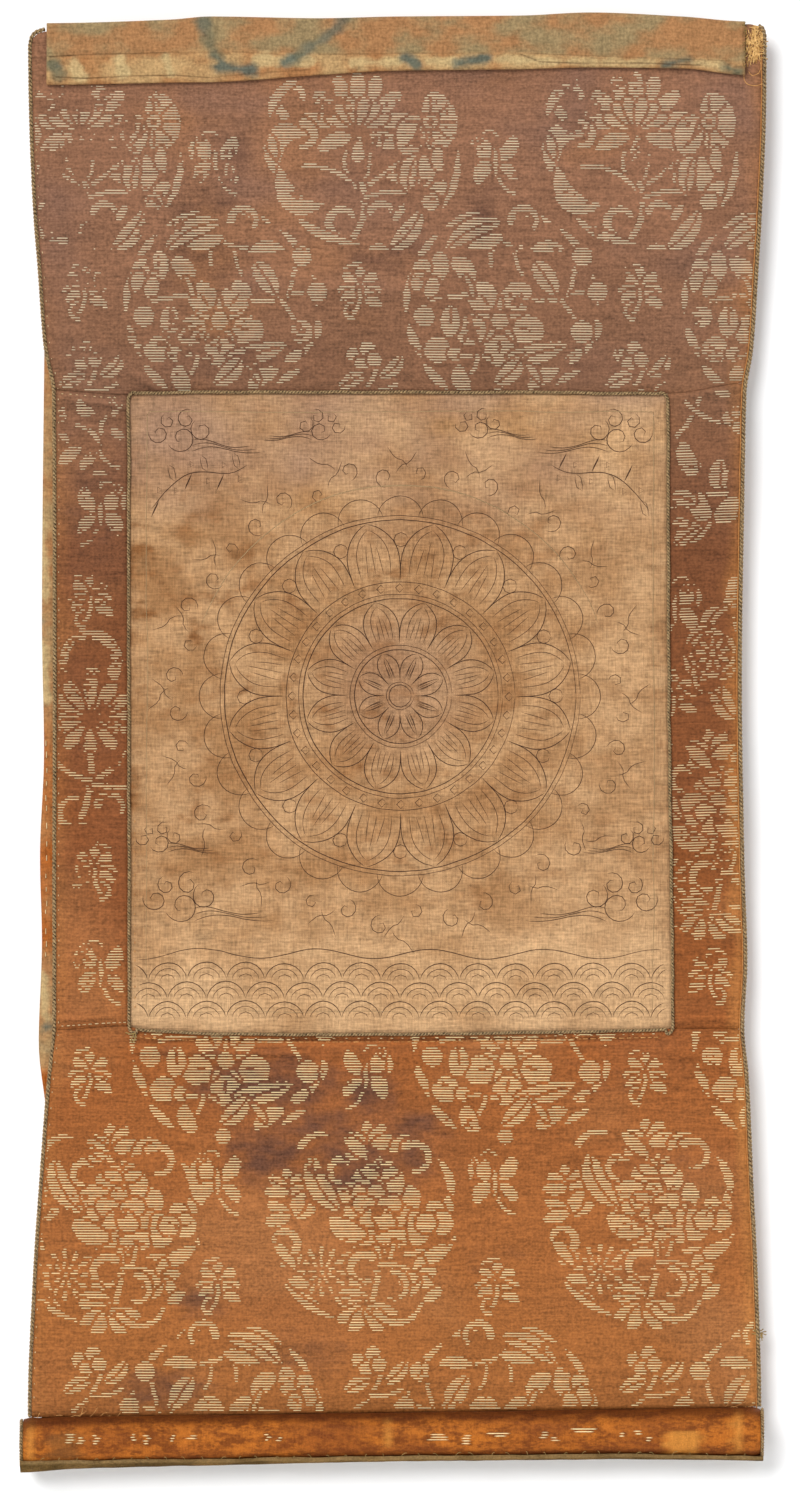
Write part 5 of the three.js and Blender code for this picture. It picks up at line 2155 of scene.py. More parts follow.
    def painted_fold_shade(self, x: np.ndarray, drop: np.ndarray) -> np.ndarray:
        """How dark the painted shade in the heading's folds and along the hem's lower edge is at each place.

        Args:
            x: Places from left to right.
            drop: How far each place lies below the heading's top edge.

        Returns:
            The darkness of each place.
        """
        under = smooth(FORM.heading_hem(x) - drop, 1.1, 0.2) * 0.5
        fold_shade = np.maximum(self.along_folds(x, drop, 0.36), under)
        return fold_shade * (0.75 + 0.25 * mottle(x / 5, drop / 3, 93))

    def scattered(self, x: np.ndarray, drop: np.ndarray, seed: int) -> np.ndarray:
        """The same kind of distance for the patches all over the back."""
        return 9 * (0.42 - mottle((x + 0.5 * drop) / 26, (drop - 0.4 * x) / 40, seed))

    def path(self, x: np.ndarray) -> tuple[np.ndarray, np.ndarray]:
        """The cloth's line in section, from the hem's hidden end over the top to the roll.

        Args:
            x: Places from left to right.

        Returns:
            The depth and the drop of each step of the line at each x.
        """
        top, crease, hem = FORM.heading_top(x), FORM.heading_crease(x), FORM.heading_hem(x)
        middle = FORM.lining_middle()
        fold = top + middle + FORM.thickness / 2
        depths, drops = [], []
        for forward, share, lift in self.hem_table:
            depths.append(np.full(x.shape, -forward))
            drops.append(crease + (hem - crease) * share - lift)
        for forward, share in self.flap_table:
            depths.append(np.full(x.shape, -forward))
            drops.append(fold + (crease - fold) * share)
        for turn in np.radians(np.arange(0, 180, 30)):
            depths.append(np.full(x.shape, -middle * math.cos(turn)))
            drops.append(fold - middle * math.sin(turn))
        front = self.evenly(self.rounded(np.array(depths)), self.rounded(np.array(drops)))
        end = FORM.seat_on_roll(x, middle - FORM.thickness / 2)
        share = np.linspace(0, 1, self.back_rows + 1)[:, None]
        back_drop = fold + (end - fold) * share
        depth = np.concatenate([front[0], np.full(back_drop.shape, middle)])
        return depth, np.concatenate([front[1], back_drop])

    def evenly(self, depths: np.ndarray, drops: np.ndarray) -> tuple[np.ndarray, np.ndarray]:
        """Spreads the steps of the heading's line evenly along it, for each x.

        Args:
            depths: The depth of each step of the line at each x.
            drops: The drop of each step.

        Returns:
            The depths and the drops of the even steps.
        """
        lengths = np.cumsum(np.hypot(np.diff(depths, axis=0), np.diff(drops, axis=0)), axis=0)
        share = np.linspace(0, 1, self.front_rows + 1)
        even_depths = np.empty((len(share), depths.shape[1]))
        even_drops = np.empty_like(even_depths)
        for column in range(depths.shape[1]):
            at = np.concatenate([[0], lengths[:, column]])
            wanted = share * at[-1]
            even_depths[:, column] = np.interp(wanted, at, depths[:, column])
            even_drops[:, column] = np.interp(wanted, at, drops[:, column])
        return even_depths, even_drops

    def rounded(self, steps: np.ndarray) -> np.ndarray:
        """Cuts the corners of the line twice, and leaves its ends.

        Args:
            steps: The depths, or the drops, of the line's steps at each x.

        Returns:
            Those of the line with its corners cut.
        """
        for _ in range(2):
            early = 0.75 * steps[:-1] + 0.25 * steps[1:]
            late = 0.25 * steps[:-1] + 0.75 * steps[1:]
            inner = np.stack([early, late], 1).reshape(-1, steps.shape[1])
            steps = np.concatenate([steps[:1], inner, steps[-1:]])
        return steps

    def middle_points(self) -> np.ndarray:
        """The middle of the cloth as a grid of points.

        Returns:
            Rows by columns by 3, from the hem's hidden end to the roll.
        """
        share = np.linspace(0, 1, self.columns + 1)
        left, right = -FORM.lining_left(0.0), FORM.lining_right(0.0)
        depth, drop = self.path(left + (right - left) * share)
        x = -FORM.lining_left(drop) + (FORM.lining_right(drop) + FORM.lining_left(drop)) * share
        front = smooth(depth, 0.6, -1.4)
        ripple = 0.2 * mottle(x / 11, drop / 5, 91) + 0.12 * mottle(x / 4, drop / 2.4, 92)
        pleat = 0.3 * self.along_folds(x, drop, 0.8)
        depth = depth + FORM.relief(x, drop) + front * (pleat - ripple) - 0.1 * (1 - front) * ripple
        return np.stack([x, depth, -drop], -1)

    def thicken(self, points: np.ndarray) -> bpy.types.Object:
        """Gives the grid its thickness; its first side is outermost on the heading.

        Args:
            points: The middle of the cloth as a grid of points.

        Returns:
            The cloth as one piece.
        """
        along = np.gradient(points, axis=0)
        across = np.gradient(points, axis=1)
        normal = np.cross(along, across)
        normal /= np.maximum(np.linalg.norm(normal, axis=2), 1e-9)[..., None]
        half = self.cloth / 2
        return closed_sheet("heading_and_lining", points + half * normal, points - half * normal)


@dataclass
class TwistedCords:
    """The twisted cords along the sides, round the painting and round the ends of the roll."""

    yarn: Yarn = Yarn("twisted olive cord", (38, 24, 14), (176, 146, 104))
    plies: int = 2
    ply_reach: float = 0.42
    ply_radius: float = 0.58
    facets: int = 6
    pitch: float = 3.6
    steps_a_turn: int = 10
    window_radius: float = 0.8
    end_radius: float = 0.8
    end_gap: float = 0.12
    corner: float = 3.6
    left_corner: tuple[Spot, ...] = ((6.6, 6.0), (3.0, 7.2), (0.8, 9.6), (0.0, 13.5))
    right_corner: tuple[Spot, ...] = ((2.6, 4.4), (0.8, 5.8), (0.0, 9.2))

    def build(self) -> None:
        """Makes and dresses the five cords."""
        material = self.yarn.material()
        radius = FORM.cord_radius
        past_end = self.end_gap + self.end_radius
        cords = (
            ("window_cord", self.window_route(), self.window_radius),
            ("edge_cord_left", self.edge_route(-1, self.left_corner), radius),
            ("edge_cord_right", self.edge_route(1, self.right_corner), radius),
            ("end_cord_left", self.end_route(FORM.roll_left_end - past_end), self.end_radius),
            ("end_cord_right", self.end_route(FORM.roll_right_end + past_end), self.end_radius),
        )
        for node, route, size in cords:
            piece = self.twist(f"{node}_plies", route, size)
            dress(piece, material, "twisted_cord")
            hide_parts(node)

    def twist(self, name: str, route: np.ndarray, radius: float) -> bpy.types.Object:
        """Winds the plies about a route.

        Args:
            name: The piece's name.
            route: The points of the cord's middle line.
            radius: The radius of the whole cord.

        Returns:
            The cord.
        """
        lengths = np.concatenate([[0], np.cumsum(np.linalg.norm(np.diff(route, axis=0), axis=1))])
        pitch = self.pitch * radius / FORM.cord_radius
        amount = int(lengths[-1] / pitch * self.steps_a_turn)
        at = np.linspace(0, lengths[-1], amount)
        middle = np.stack([np.interp(at, lengths, route[:, axis]) for axis in range(3)], 1)
        ahead = np.gradient(middle, axis=0)
        ahead /= np.linalg.norm(ahead, axis=1)[:, None]
        around_end = np.ptp(route[:, 0]) < 1
        flat = np.array([1.0, 0.0, 0.0]) if around_end else np.array([0.0, 1.0, 0.0])
        side = np.cross(ahead, flat)
        side /= np.linalg.norm(side, axis=1)[:, None]
        pile = ThreadPile()
        swell = 1 + 0.06 * mottle(at / 4, at * 0, 95)
        for ply in range(self.plies):
            turn = 2 * np.pi * (at / pitch + ply / self.plies)
            way = np.cos(turn)[:, None] * side + np.sin(turn)[:, None] * flat
            path = middle + self.ply_reach * radius * way
            pile.add_strand(path, self.ply_radius * radius * swell, self.facets, 0.0)
            rings = pile.points[-1]
            # Painted shade: each ply darkens towards the cord's middle, where the grooves are, and lightens
            # on its outer crown.
            around = np.repeat(middle, self.facets, axis=0)
            centre = np.concatenate([middle[:1], around, middle[-1:]])
            away = np.linalg.norm(rings - centre, axis=1) / radius
            pile.tones[-1] = smooth(away, 0.78, 1.0)
        return pile.finish(name)

    def on_front(self, x: np.ndarray, drop: np.ndarray, depth: float) -> np.ndarray:
        """Points at a depth that follows the waves of the cloth."""
        return np.stack([x, depth + FORM.relief(x, drop), -drop], 1)

    def edge_route(self, side: int, corner: tuple[Spot, ...]) -> np.ndarray:
        """Round the brocade's top corner, then down its side to the roll.

        Args:
            side: -1 for the left cord and 1 for the right one.
            corner: How far in and how far down each place of the bend at the corner is.

        Returns:
            The points of the cord's middle line.
        """
        edge = FORM.brocade_left if side < 0 else FORM.brocade_right
        inward, corner_drop = np.array(corner).T
        foot = FORM.seat_on_roll(side * (edge(626.0) - FORM.cord_radius), -1.7)
        steps = np.linspace(corner_drop[-1], float(foot), 160)[1:]
        t = np.linspace(0, len(corner) - 1, 14)
        bent_inward = Profile(tuple(range(len(corner))), tuple(inward))(t)
        bent_drop = Profile(tuple(range(len(corner))), tuple(corner_drop))(t)
        drop = np.concatenate([bent_drop, steps])
        inset = np.concatenate([bent_inward, np.zeros(len(steps))])
        x = side * (edge(drop) - FORM.cord_radius - inset)
        return self.on_front(x, drop, -FORM.thickness / 2)

    def window_route(self) -> np.ndarray:
        """Round the painting from the lower left corner, and back to it.

        Returns:
            The points of the cord's middle line.
        """
        upper, lower, bend = FORM.upper_seam, FORM.lower_seam, self.corner
        highest, lowest = float(upper(0.0)) + bend, float(lower(0.0)) - bend
        left_top = float(FORM.window_left(highest)) + bend
        right_top = float(FORM.window_right(highest)) - bend
        left_foot = float(FORM.window_left(lowest)) + bend
        right_foot = float(FORM.window_right(lowest)) - bend

        def quarter(middle_x: float, middle_drop: float, start: float) -> np.ndarray:
            """The places of a quarter turn to the right."""
            angle = np.radians(start - np.linspace(15, 75, 5))
            return np.stack([middle_x + bend * np.cos(angle), middle_drop - bend * np.sin(angle)], 1)

        down = np.linspace(highest, lowest, 90)
        top_x = np.linspace(left_top, right_top, 80)
        foot_x = np.linspace(right_foot, left_foot + 0.6, 80)
        places = np.concatenate(
            [
                [[left_foot, float(lower(left_foot))]],
                quarter(left_foot, lowest, 270),
                np.stack([FORM.window_left(down[::-1]), down[::-1]], 1),
                quarter(left_top, highest, 180),
                np.stack([top_x, upper(top_x)], 1),
                quarter(right_top, highest, 90),
                np.stack([FORM.window_right(down), down], 1),
                quarter(right_foot, lowest, 0),
                np.stack([foot_x, lower(foot_x)], 1),
            ]
        )
        x = places[:, 0] + 0.25 * mottle(places[:, 1] / 9, places[:, 0] / 9, 96)
        drop = places[:, 1] + 0.25 * mottle(places[:, 0] / 9, places[:, 1] / 9, 97)
        return self.on_front(x, drop, -FORM.thickness / 2 - 0.1 - self.window_radius)

    def end_route(self, x: float) -> np.ndarray:
        """Round one end of the roll, from its top to under the strip."""
        degrees = np.linspace(-86, 120, 40)
        return FORM.around_roll(np.full(len(degrees), x), degrees, -self.end_radius - 0.25)


@dataclass
class RodRoll:
    """The rod in its casing of worn silk, with what is left of the gold on it."""

    casing: WornCasing = field(default_factory=WornCasing)
    gilt: GiltWeft = field(default_factory=GiltWeft)
    facets: int = 84
    cuts: int = 230
    rounding: float = 0.9
    patch_x: float = 128.5
    bare_strip_x: float = 152.4
    left_mark_x: float = -165.0
    right_mark_x: float = 161.6
    crease_x: float = -3.0
    mauve_x: float = -150.0
    scrap_drop: float = 636.0
    scrap_pitch: float = 1.2
    scrap_half_width: float = 0.28
    end_steps: tuple[tuple[float, float], ...] = (
        (0.0016, 0.0), (0.0009, -0.0011), (0.0012, 0.0004), (0.0009, -0.0006), (0.0012, 0.0003),
    )
    scraps: tuple[tuple[float, float, float], ...] = (
        (-147, 1.5, 6), (-142, 3, 4), (-135, 2, 5), (-118, 1.5, 3), (-112, 2, 4), (-101, 2, 3), (-92, 2, 7),
        (-58, 1.5, 3), (-53, 3, 4), (19, 1.5, 12), (31, 2, 7), (46, 1, 12), (66, 0.5, 5), (71, 3, 5),
        (84, -1, 13), (101, 1, 3), (108, 0, 6), (113, 3, 4),
    )

    def build(self) -> None:
        """Makes and dresses the roll and the scraps of gold."""
        roll = self.cylinder()
        self.shape(roll)
        dress(roll, self.casing.material(), "worn_silk_casing")
        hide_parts("rod_roll")
        dress(self.gold(), self.gilt.material(), "worn_silk_casing")

    def cylinder(self) -> bpy.types.Object:
        """A cylinder along the roll, its side cut into rings and its ends stepped in.

        Returns:
            The cylinder, not yet shaped.
        """
        left, right = FORM.roll_left_end * MM, FORM.roll_right_end * MM
        bpy.ops.object.select_all(action="DESELECT")
        bpy.ops.mesh.primitive_cylinder_add(
            vertices=self.facets,
            radius=0.01,
            depth=right - left,
            location=((left + right) / 2, 0, 0),
            rotation=(0, math.pi / 2, 0),
        )
        roll = bpy.context.object
        roll.name = "rod_roll_casing"
        bpy.ops.object.transform_apply(location=True, rotation=True, scale=True)
        bpy.context.tool_settings.mesh_select_mode = (False, True, False)
        for group in (roll.data.vertices, roll.data.polygons):
            group.foreach_set("select", np.zeros(len(group), bool))
        for edge in roll.data.edges:
            ends = [roll.data.vertices[i].co.x for i in edge.vertices]
            edge.select = abs(ends[0] - ends[1]) > 0.1
        bpy.ops.object.mode_set(mode="EDIT")
        bpy.ops.mesh.subdivide(number_cuts=self.cuts)
        for step_in, sink in self.end_steps:
            self.select_ends(roll)
            bpy.ops.mesh.inset(thickness=step_in, depth=sink, use_individual=True)
        bpy.ops.object.mode_set(mode="OBJECT")
        return roll

    def select_ends(self, roll: bpy.types.Object) -> None:
        """Selects the outermost face at each end.

        Args:
            roll: The cylinder, which stays in edit mode.
        """
        bpy.ops.object.mode_set(mode="OBJECT")
        for group in (roll.data.vertices, roll.data.edges, roll.data.polygons):
            group.foreach_set("select", np.zeros(len(group), bool))
        for polygon in roll.data.polygons:
            polygon.select = len(polygon.vertices) == self.facets
        bpy.ops.object.mode_set(mode="EDIT")
        bpy.ops.mesh.select_mode(type="FACE")

    def wrinkles(self, x: np.ndarray, degrees: np.ndarray) -> np.ndarray:
        """How far the casing stands out from the plain roll.

        Args:
            x: Places from left to right.
            degrees: Where each place is round the roll, from its foremost line down and under it.

        Returns:
            How far each place stands out.
        """
        around = degrees / 5.2
        lengthwise = 0.22 * mottle(x / 22, around / 1.2, 101) + 0.12 * mottle(x / 8, around / 0.8, 102)
        gather = 0.16 * np.sin(x / 1.9 + 2 * mottle(x / 9, around / 6, 103))
        near_end = smooth(np.minimum(x - FORM.roll_left_end, FORM.roll_right_end - x), 22, 4)
        patch = smooth(np.abs(x - self.patch_x), 9.5, 7.5) * smooth(np.abs(degrees - 35), 42, 34)
        torn = 0.22 * np.sin(x / 1.3 + degrees / 9) * patch - 0.3 * patch
        overlap = -0.35 * smooth(degrees, -62, -50) + 0.35
        return lengthwise + gather * near_end + torn + 0.5 * overlap - 0.25

    def shape(self, roll: bpy.types.Object) -> None:
        """Sets the cylinder to the roll's own form, and stores the marks on its casing.

        Args:
            roll: The cylinder, changed in place.
        """
        amount = len(roll.data.vertices)
        places = np.empty(amount * 3)
        roll.data.vertices.foreach_get("co", places)
        places = places.reshape(-1, 3) / MM
        x = places[:, 0]
        share = np.hypot(places[:, 1], places[:, 2]) / 10
        degrees = np.degrees(np.arctan2(-places[:, 2], -places[:, 1]))
        inward = np.clip(np.minimum(x - FORM.roll_left_end, FORM.roll_right_end - x), 0, self.rounding)
        rounded = self.rounding - np.sqrt(self.rounding**2 - (self.rounding - inward) ** 2)
        outward = (self.wrinkles(x, degrees) - rounded) * smooth(share, 0.3, 1.0)
        radius = FORM.roll_radius(x) * share + outward
        turn = np.radians(degrees)
        y = FORM.roll_middle_y - radius * np.cos(turn)
        z = -FORM.roll_centre(x) - radius * np.sin(turn)
        shaped = np.stack([x, y, z], 1) * MM
        roll.data.vertices.foreach_set("co", shaped.ravel())
        roll.data.update()
        bpy.ops.object.select_all(action="DESELECT")
        roll.select_set(True)
        bpy.context.view_layer.objects.active = roll
        bpy.ops.object.shade_smooth_by_angle(angle=math.radians(50))
        for name, values in self.marks(x, degrees).items():
            keep_number(roll, name, values)

    def marks(self, x: np.ndarray, degrees: np.ndarray) -> dict[str, np.ndarray]:
        """The worn, dark and mauve places of the casing.

        Args:
            x: Places from left to right.
            degrees: Where each place is round the roll, from its foremost line down and under it.

        Returns:
            How strong each kind of mark is at each place, by its name.
        """
        wander = mottle(x / 7, degrees / 14, 111) + 0.5 * mottle(x / 2.6, degrees / 7, 112)
        patch = smooth(np.abs(x - self.patch_x) + 1.2 * wander, 9, 7) * smooth(np.abs(degrees - 35), 45, 38)
        strip = smooth(np.abs(x - self.bare_strip_x) + 0.5 * wander, 2.6, 1.6)
        strip = strip * smooth(np.abs(degrees), 85, 60)
        end = smooth(np.abs(x - self.left_mark_x) + 0.4 * wander, 2.4, 1.2)
        end = np.maximum(end, smooth(np.abs(x - self.right_mark_x) + 0.4 * wander, 1.0, 0.4))
        crease = smooth(np.abs(x - self.crease_x) + 0.3 * wander, 1.8, 0.6)
        crease = crease * smooth(np.abs(degrees + 15), 55, 30)
        bare = np.maximum.reduce([0.85 * patch, 0.7 * strip, 0.6 * end, 0.75 * crease])
        top = smooth(degrees + 6 * wander, -30, -58)
        foot = smooth(degrees + 6 * wander, 36, 60)
        shadow = np.clip(0.8 * top + 0.75 * foot, 0, 0.85) * (1 - 0.7 * patch)
        mauve = 0.7 * smooth(np.abs(x - self.mauve_x) + 2 * wander, 10, 4)
        mauve = mauve * smooth(np.abs(degrees - 10) + 8 * wander, 50, 20)
        return {"bare": bare, "shadow": shadow, "mauve": mauve}

    def gold(self) -> bpy.types.Object:
        """What is left of the gold, as short strips that lie round the roll's front.

        Returns:
            The scraps, as one piece.
        """
        chance = np.random.default_rng(7)
        pile = ThreadPile()
        for middle, below, length in self.scraps:
            for line in range(int(chance.integers(2, 5))):
                drop = self.scrap_drop + below + self.scrap_pitch * line
                reach = length / 2 * chance.uniform(0.5, 1.0)
                shift = chance.uniform(-0.8, 0.8)
                x = np.linspace(middle + shift - reach, middle + shift + reach, max(4, int(reach) + 2))
                self.add_scrap(pile, x, drop, float(chance.uniform(0, 1)))
        return pile.finish("gold_scraps_on_roll")

    def add_scrap(self, pile: ThreadPile, x: np.ndarray, drop: float, tone: float) -> None:
        """Adds one strip at a drop on the roll's front.

        Args:
            pile: What to add them to.
            x: Places from left to right.
            drop: The drop of the strip's middle.
            tone: A number for its material to read.
        """
        edges = []
        half = self.scrap_half_width
        for shift, proud in ((-half, 0.0), (0.0, half / 2), (half, 0.0)):
            sine = np.clip((drop + shift - FORM.roll_centre(x)) / FORM.roll_radius(x), -0.97, 0.97)
            degrees = np.degrees(np.arcsin(sine))
            edges.append(FORM.around_roll(x, degrees, self.wrinkles(x, degrees) + proud))
        rings = np.stack(edges, 1)
        pile.add_rings(rings[1:-1], (edges[1][0], edges[1][-1]), tone)


@dataclass
class UnderStrip:
    """The plain cloth sewn under the roll, with its folded and frayed front edge."""

    cloth: OliveCloth = field(default_factory=OliveCloth)
    gap: float = 0.6
    thickness: float = 1.0
    overhang: float = 1.4
    back_angle: float = 228.0
    columns: int = 150
    rows: int = 50

    def build(self) -> None:
        """Makes and dresses the strip."""
        along = np.linspace(0, 1, self.rows + 1)[:, None]
        left = FORM.roll_left_end - self.overhang
        right = FORM.roll_right_end + self.overhang
        x = np.tile(np.linspace(left, right, self.columns + 1), (self.rows + 1, 1))
        edge = FORM.strip_edge(x) + 2.4 * mottle(x / 12, x * 0, 121) + 1.2 * mottle(x / 4, x * 0, 122)
        degrees = edge + (self.back_angle - edge) * along
        below = (degrees - edge) * np.pi / 180 * FORM.roll_radius(x)
        ripple = 0.14 * mottle(x / 9, degrees / 13, 123)
        doubled = smooth(np.abs(x - 17), 74, 66)
        hem = 0.5 * smooth(below, 3.4, 2.6) * (0.35 + 0.65 * doubled)
        outer = FORM.around_roll(x, degrees, self.gap + self.thickness + ripple + hem - 0.25)
        inner = FORM.around_roll(x, degrees, self.gap - 0.2)
        piece = closed_sheet("under_strip_cloth", outer, inner)
        fold = smooth(below, 2.0, 0.2) * (0.75 + 0.3 * mottle(x / 5, below / 2, 124))
        keep_on_both_sides(piece, {"fold": np.clip(fold, 0, 1)})
        dress(piece, self.cloth.material(), "olive_cloth")
        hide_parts("under_strip")


@dataclass
class Needlework:
    """Stitches, the orange piping inside the right cord, and the threads that have come loose."""

    piping: Yarn = Yarn("orange piping silk", (146, 90, 44), (188, 132, 76), 0.7)
    cream: Yarn = Yarn("cream sewing thread", (174, 144, 102), (222, 198, 154))
    rust: Yarn = Yarn("rust sewing thread", (150, 92, 48), (220, 166, 102))
    olive: Yarn = Yarn("olive frayed thread", (110, 88, 48), (164, 136, 84))
    tan: Yarn = Yarn("frayed tan silk", (158, 112, 58), (236, 194, 128))
    piping_radius: float = 0.3
    thread_radius: float = 0.2
    corner_threads: int = 190
    roll_threads: int = 18
    fringe_threads: int = 28
    knot_threads: int = 9
    tail_threads: int = 3
    strip_threads: int = 40
    corner_loops: tuple[tuple[Spot, ...], ...] = (
        ((157.4, 20.6), (155.9, 24.0), (156.2, 28.4), (158.4, 31.0), (161.6, 31.4), (164.0, 30.6)),
        ((158, 20.4), (160.2, 19.4), (163, 20), (163.8, 22.4), (162.8, 25.6), (160, 26.8), (158.2, 25)),
    )

    def build(self) -> None:
        """Makes and dresses all the threads."""
        makers = (
            (self.edge_piping, "edge_piping", self.piping, "silk_brocade"),
            (self.cream_stitches, "cream_stitches", self.cream, "twisted_cord"),
            (self.rust_threads, "rust_threads", self.rust, "twisted_cord"),
            (self.olive_threads, "olive_threads", self.olive, "twisted_cord"),
            (self.frayed_corner, "frayed_corner", self.tan, "silk_brocade"),
        )
        for make, name, yarn, slot in makers:
            pile = ThreadPile()
            make(pile)
            dress(pile.finish(name), yarn.material(), slot)

    def edge_piping(self, pile: ThreadPile) -> None:
        """The orange fold of the silk just inside the right edge cord.

        Args:
            pile: What to add them to.
        """
        drop = np.linspace(12, 628, 260)
        right = FORM.brocade_right(drop) - 2 * FORM.cord_radius - 0.3
        x = right + 0.12 * mottle(drop / 6, drop * 0, 131)
        pile.add_strand(FORM.front(x, drop), self.piping_radius, 5, 0.7)

    def run_stitches(
        self,
        pile: ThreadPile,
        line: Callable,
        ends: tuple[float, float],
        stitch: float,
        gap: float,
        seed: int,
        proud: float = 0.0,
        down: bool = False,
    ) -> None:
        """Adds a line of running stitches.

        Args:
            pile: What to add them to.
            line: The line's drop at each x, or its x at each drop.
            ends: Where the line starts and ends.
            stitch: The length of a stitch.
            gap: The space between two.
            seed: Which random draws to use.
            proud: How far the middle of the thread lies from the cloth.
            down: Whether the line runs down the cloth.
        """
        chance = np.random.default_rng(seed)
        at, end = ends
        while at < end:
            length = stitch * chance.uniform(0.7, 1.25)
            along = np.linspace(at, at + length, 4)
            x, drop = (line(along), along) if down else (along, line(along))
            radius = self.thread_radius * chance.uniform(0.8, 1.1)
            pile.add_strand(FORM.front(x, drop, proud), radius, 5, float(chance.uniform(0, 1)))
            at += length + gap * chance.uniform(0.7, 1.4)

    def left_line(self, drop: np.ndarray) -> np.ndarray:
        """The x of the slightly wavy line of stitches inside the left cord."""
        return -FORM.brocade_left(drop) + 2.9 + 0.1 * np.sin(drop)

    def cream_stitches(self, pile: ThreadPile) -> None:
        """Pale stitches inside the left cord, on the lining and along the seams.

        Args:
            pile: What to add them to.
        """
        self.run_stitches(pile, self.left_line, (60, 622), 0.7, 5.2, 141, down=True)
        self.run_stitches(pile, lowered(FORM.lower_seam, -1.7), (-151, -123), 1.3, 1.1, 142, 0.1)
        self.run_stitches(pile, lowered(FORM.upper_seam, 1.5), (-151, -124), 0.9, 2.4, 143, 0.1)
        self.run_stitches(pile, lowered(FORM.lower_seam, 1.8), (-118, 120), 1.0, 4.2, 144, 0.05)
        chance = np.random.default_rng(145)
        at = 326.0
        while at < 424:
            drop = np.linspace(at, at + chance.uniform(1.8, 3.0), 4)
            x = np.full(4, -157.9 + 0.3 * chance.uniform(-1, 1))
            depth = 0.75 + FORM.relief(x, drop) + 0.45
            path = np.stack([x, depth, -drop], 1)
            pile.add_strand(path, 0.22, 5, float(chance.uniform(0.4, 1)))
            at += chance.uniform(4.0, 8.5)

    def loose(
        self,
        pile: ThreadPile,
        start: Spot,
        aim: float,
        length: float,
        wander: float,
        depth: float,
        seed: int,
        radius: float,
    ) -> None:
        """Adds a thread that has come loose and curls.

        Args:
            pile: What to add it to.
            start: The x and drop at which it comes out.
            aim: Its first direction in degrees, 0 to the right and 90 up.
            length: Its length.
            wander: How much it turns on the way.
            depth: Its depth in front of the cloth's middle.
            seed: Which random draws to use.
            radius: Its radius.
        """
        chance = np.random.default_rng(seed)
        steps = max(6, int(length / 0.9))
        turns = np.cumsum(chance.normal(0, wander, steps))
        angle = np.radians(aim + turns)
        hop = length / steps
        x = start[0] + np.cumsum(np.cos(angle)) * hop
        drop = start[1] - np.cumsum(np.sin(angle)) * hop
        away = depth + 0.35 * np.sin(np.linspace(0, 3, steps)) + 0.1 * chance.uniform(-1, 1, steps)
        path = np.stack([x, FORM.relief(x, drop) - away, -drop], 1)
        pile.add_strand(path, radius, 4, float(chance.uniform(0, 1)))

    def rust_threads(self, pile: ThreadPile) -> None:
        """Orange threads: loose below the top right corner and along the roll's top line.

        Args:
            pile: What to add them to.
        """
        chance = np.random.default_rng(151)
        for loop in self.corner_loops:
            x, drop = np.array(loop).T
            steps = np.linspace(0, len(x) - 1, 8 * len(x))
            places = tuple(range(len(x)))
            x, drop = Profile(places, tuple(x))(steps), Profile(places, tuple(drop))(steps)
            pile.add_strand(FORM.front(x, drop, 0.2), 0.16, 5, 0.9)
        for index in range(self.roll_threads):
            x = chance.uniform(-166, -124) if index < 10 else chance.uniform(132, 160)
            start = (x, float(FORM.roll_top(x)) + chance.uniform(-0.6, 1.0))
            aim = chance.uniform(-20, 20)
            self.loose(pile, start, aim, chance.uniform(3, 9), 22, 3.2, 260 + index, 0.14)
        self.run_stitches(pile, lowered(FORM.lower_seam, 3.4), (-116, 118), 2.2, 0.9, 152)
        self.run_stitches(pile, lowered(FORM.window_left, 2.6), (362, 446), 0.8, 3.4, 153, down=True)

    def frayed_corner(self, pile: ThreadPile) -> None:
        """The worn patch of the silk at the top right corner.

        Args:
            pile: What to add them to.
        """
        chance = np.random.default_rng(152)
        for index in range(self.corner_threads):
            start = (156.8 + chance.uniform(0, 6.8), 4.2 + chance.uniform(0, 14.8))
            aim = chance.uniform(256, 284) if index % 3 else chance.uniform(-14, 14)
            self.loose(pile, start, aim, chance.uniform(1.6, 4.6), 10, 0.7, 400 + index, 0.25)

    def olive_threads(self, pile: ThreadPile) -> None:
        """The heading's fringed end, a knot, a tail at the window's corner and frayed ends.

        Args:
            pile: What to add them to.
        """
        chance = np.random.default_rng(170)
        for index in range(self.fringe_threads):
            drop = chance.uniform(1.6, 24)
            depth = 2.3 + 1.2 * float(smooth(np.array(drop), 14, 19))
            start = (155.2 + chance.uniform(0, 1.2), drop)
            aim = chance.uniform(-80, 80)
            self.loose(pile, start, aim, chance.uniform(1.0, 2.6), 34, depth, 620 + index, 0.12)
        for index in range(self.knot_threads):
            self.loose(pile, (163.0, 593.0), -30 + 24 * index, 3.4, 30, 0.5, 300 + index, 0.22)
        for index in range(self.tail_threads):
            self.loose(pile, (-117.0, 457.0), 195 + 20 * index, 5.5, 14, 2.0, 320 + index, 0.28)
        for index in range(self.strip_threads):
            x = -160 + 8.1 * index
            degrees = float(FORM.strip_edge(x)) - 4
            base = FORM.around_roll(np.array([x]), np.array([degrees]), np.array([1.0]))[0]
            chance = np.random.default_rng(340 + index)
            t = np.linspace(0, 1, 7)[:, None]
            way = np.array([chance.uniform(-2.8, 2.8), -0.7, chance.uniform(0.2, 1.6)])
            bow = np.array([0.0, -0.4, 0.5]) * np.sin(np.pi * t)
            pile.add_strand(base + way * t + bow, 0.13, 4, float(chance.uniform(0.4, 1)))


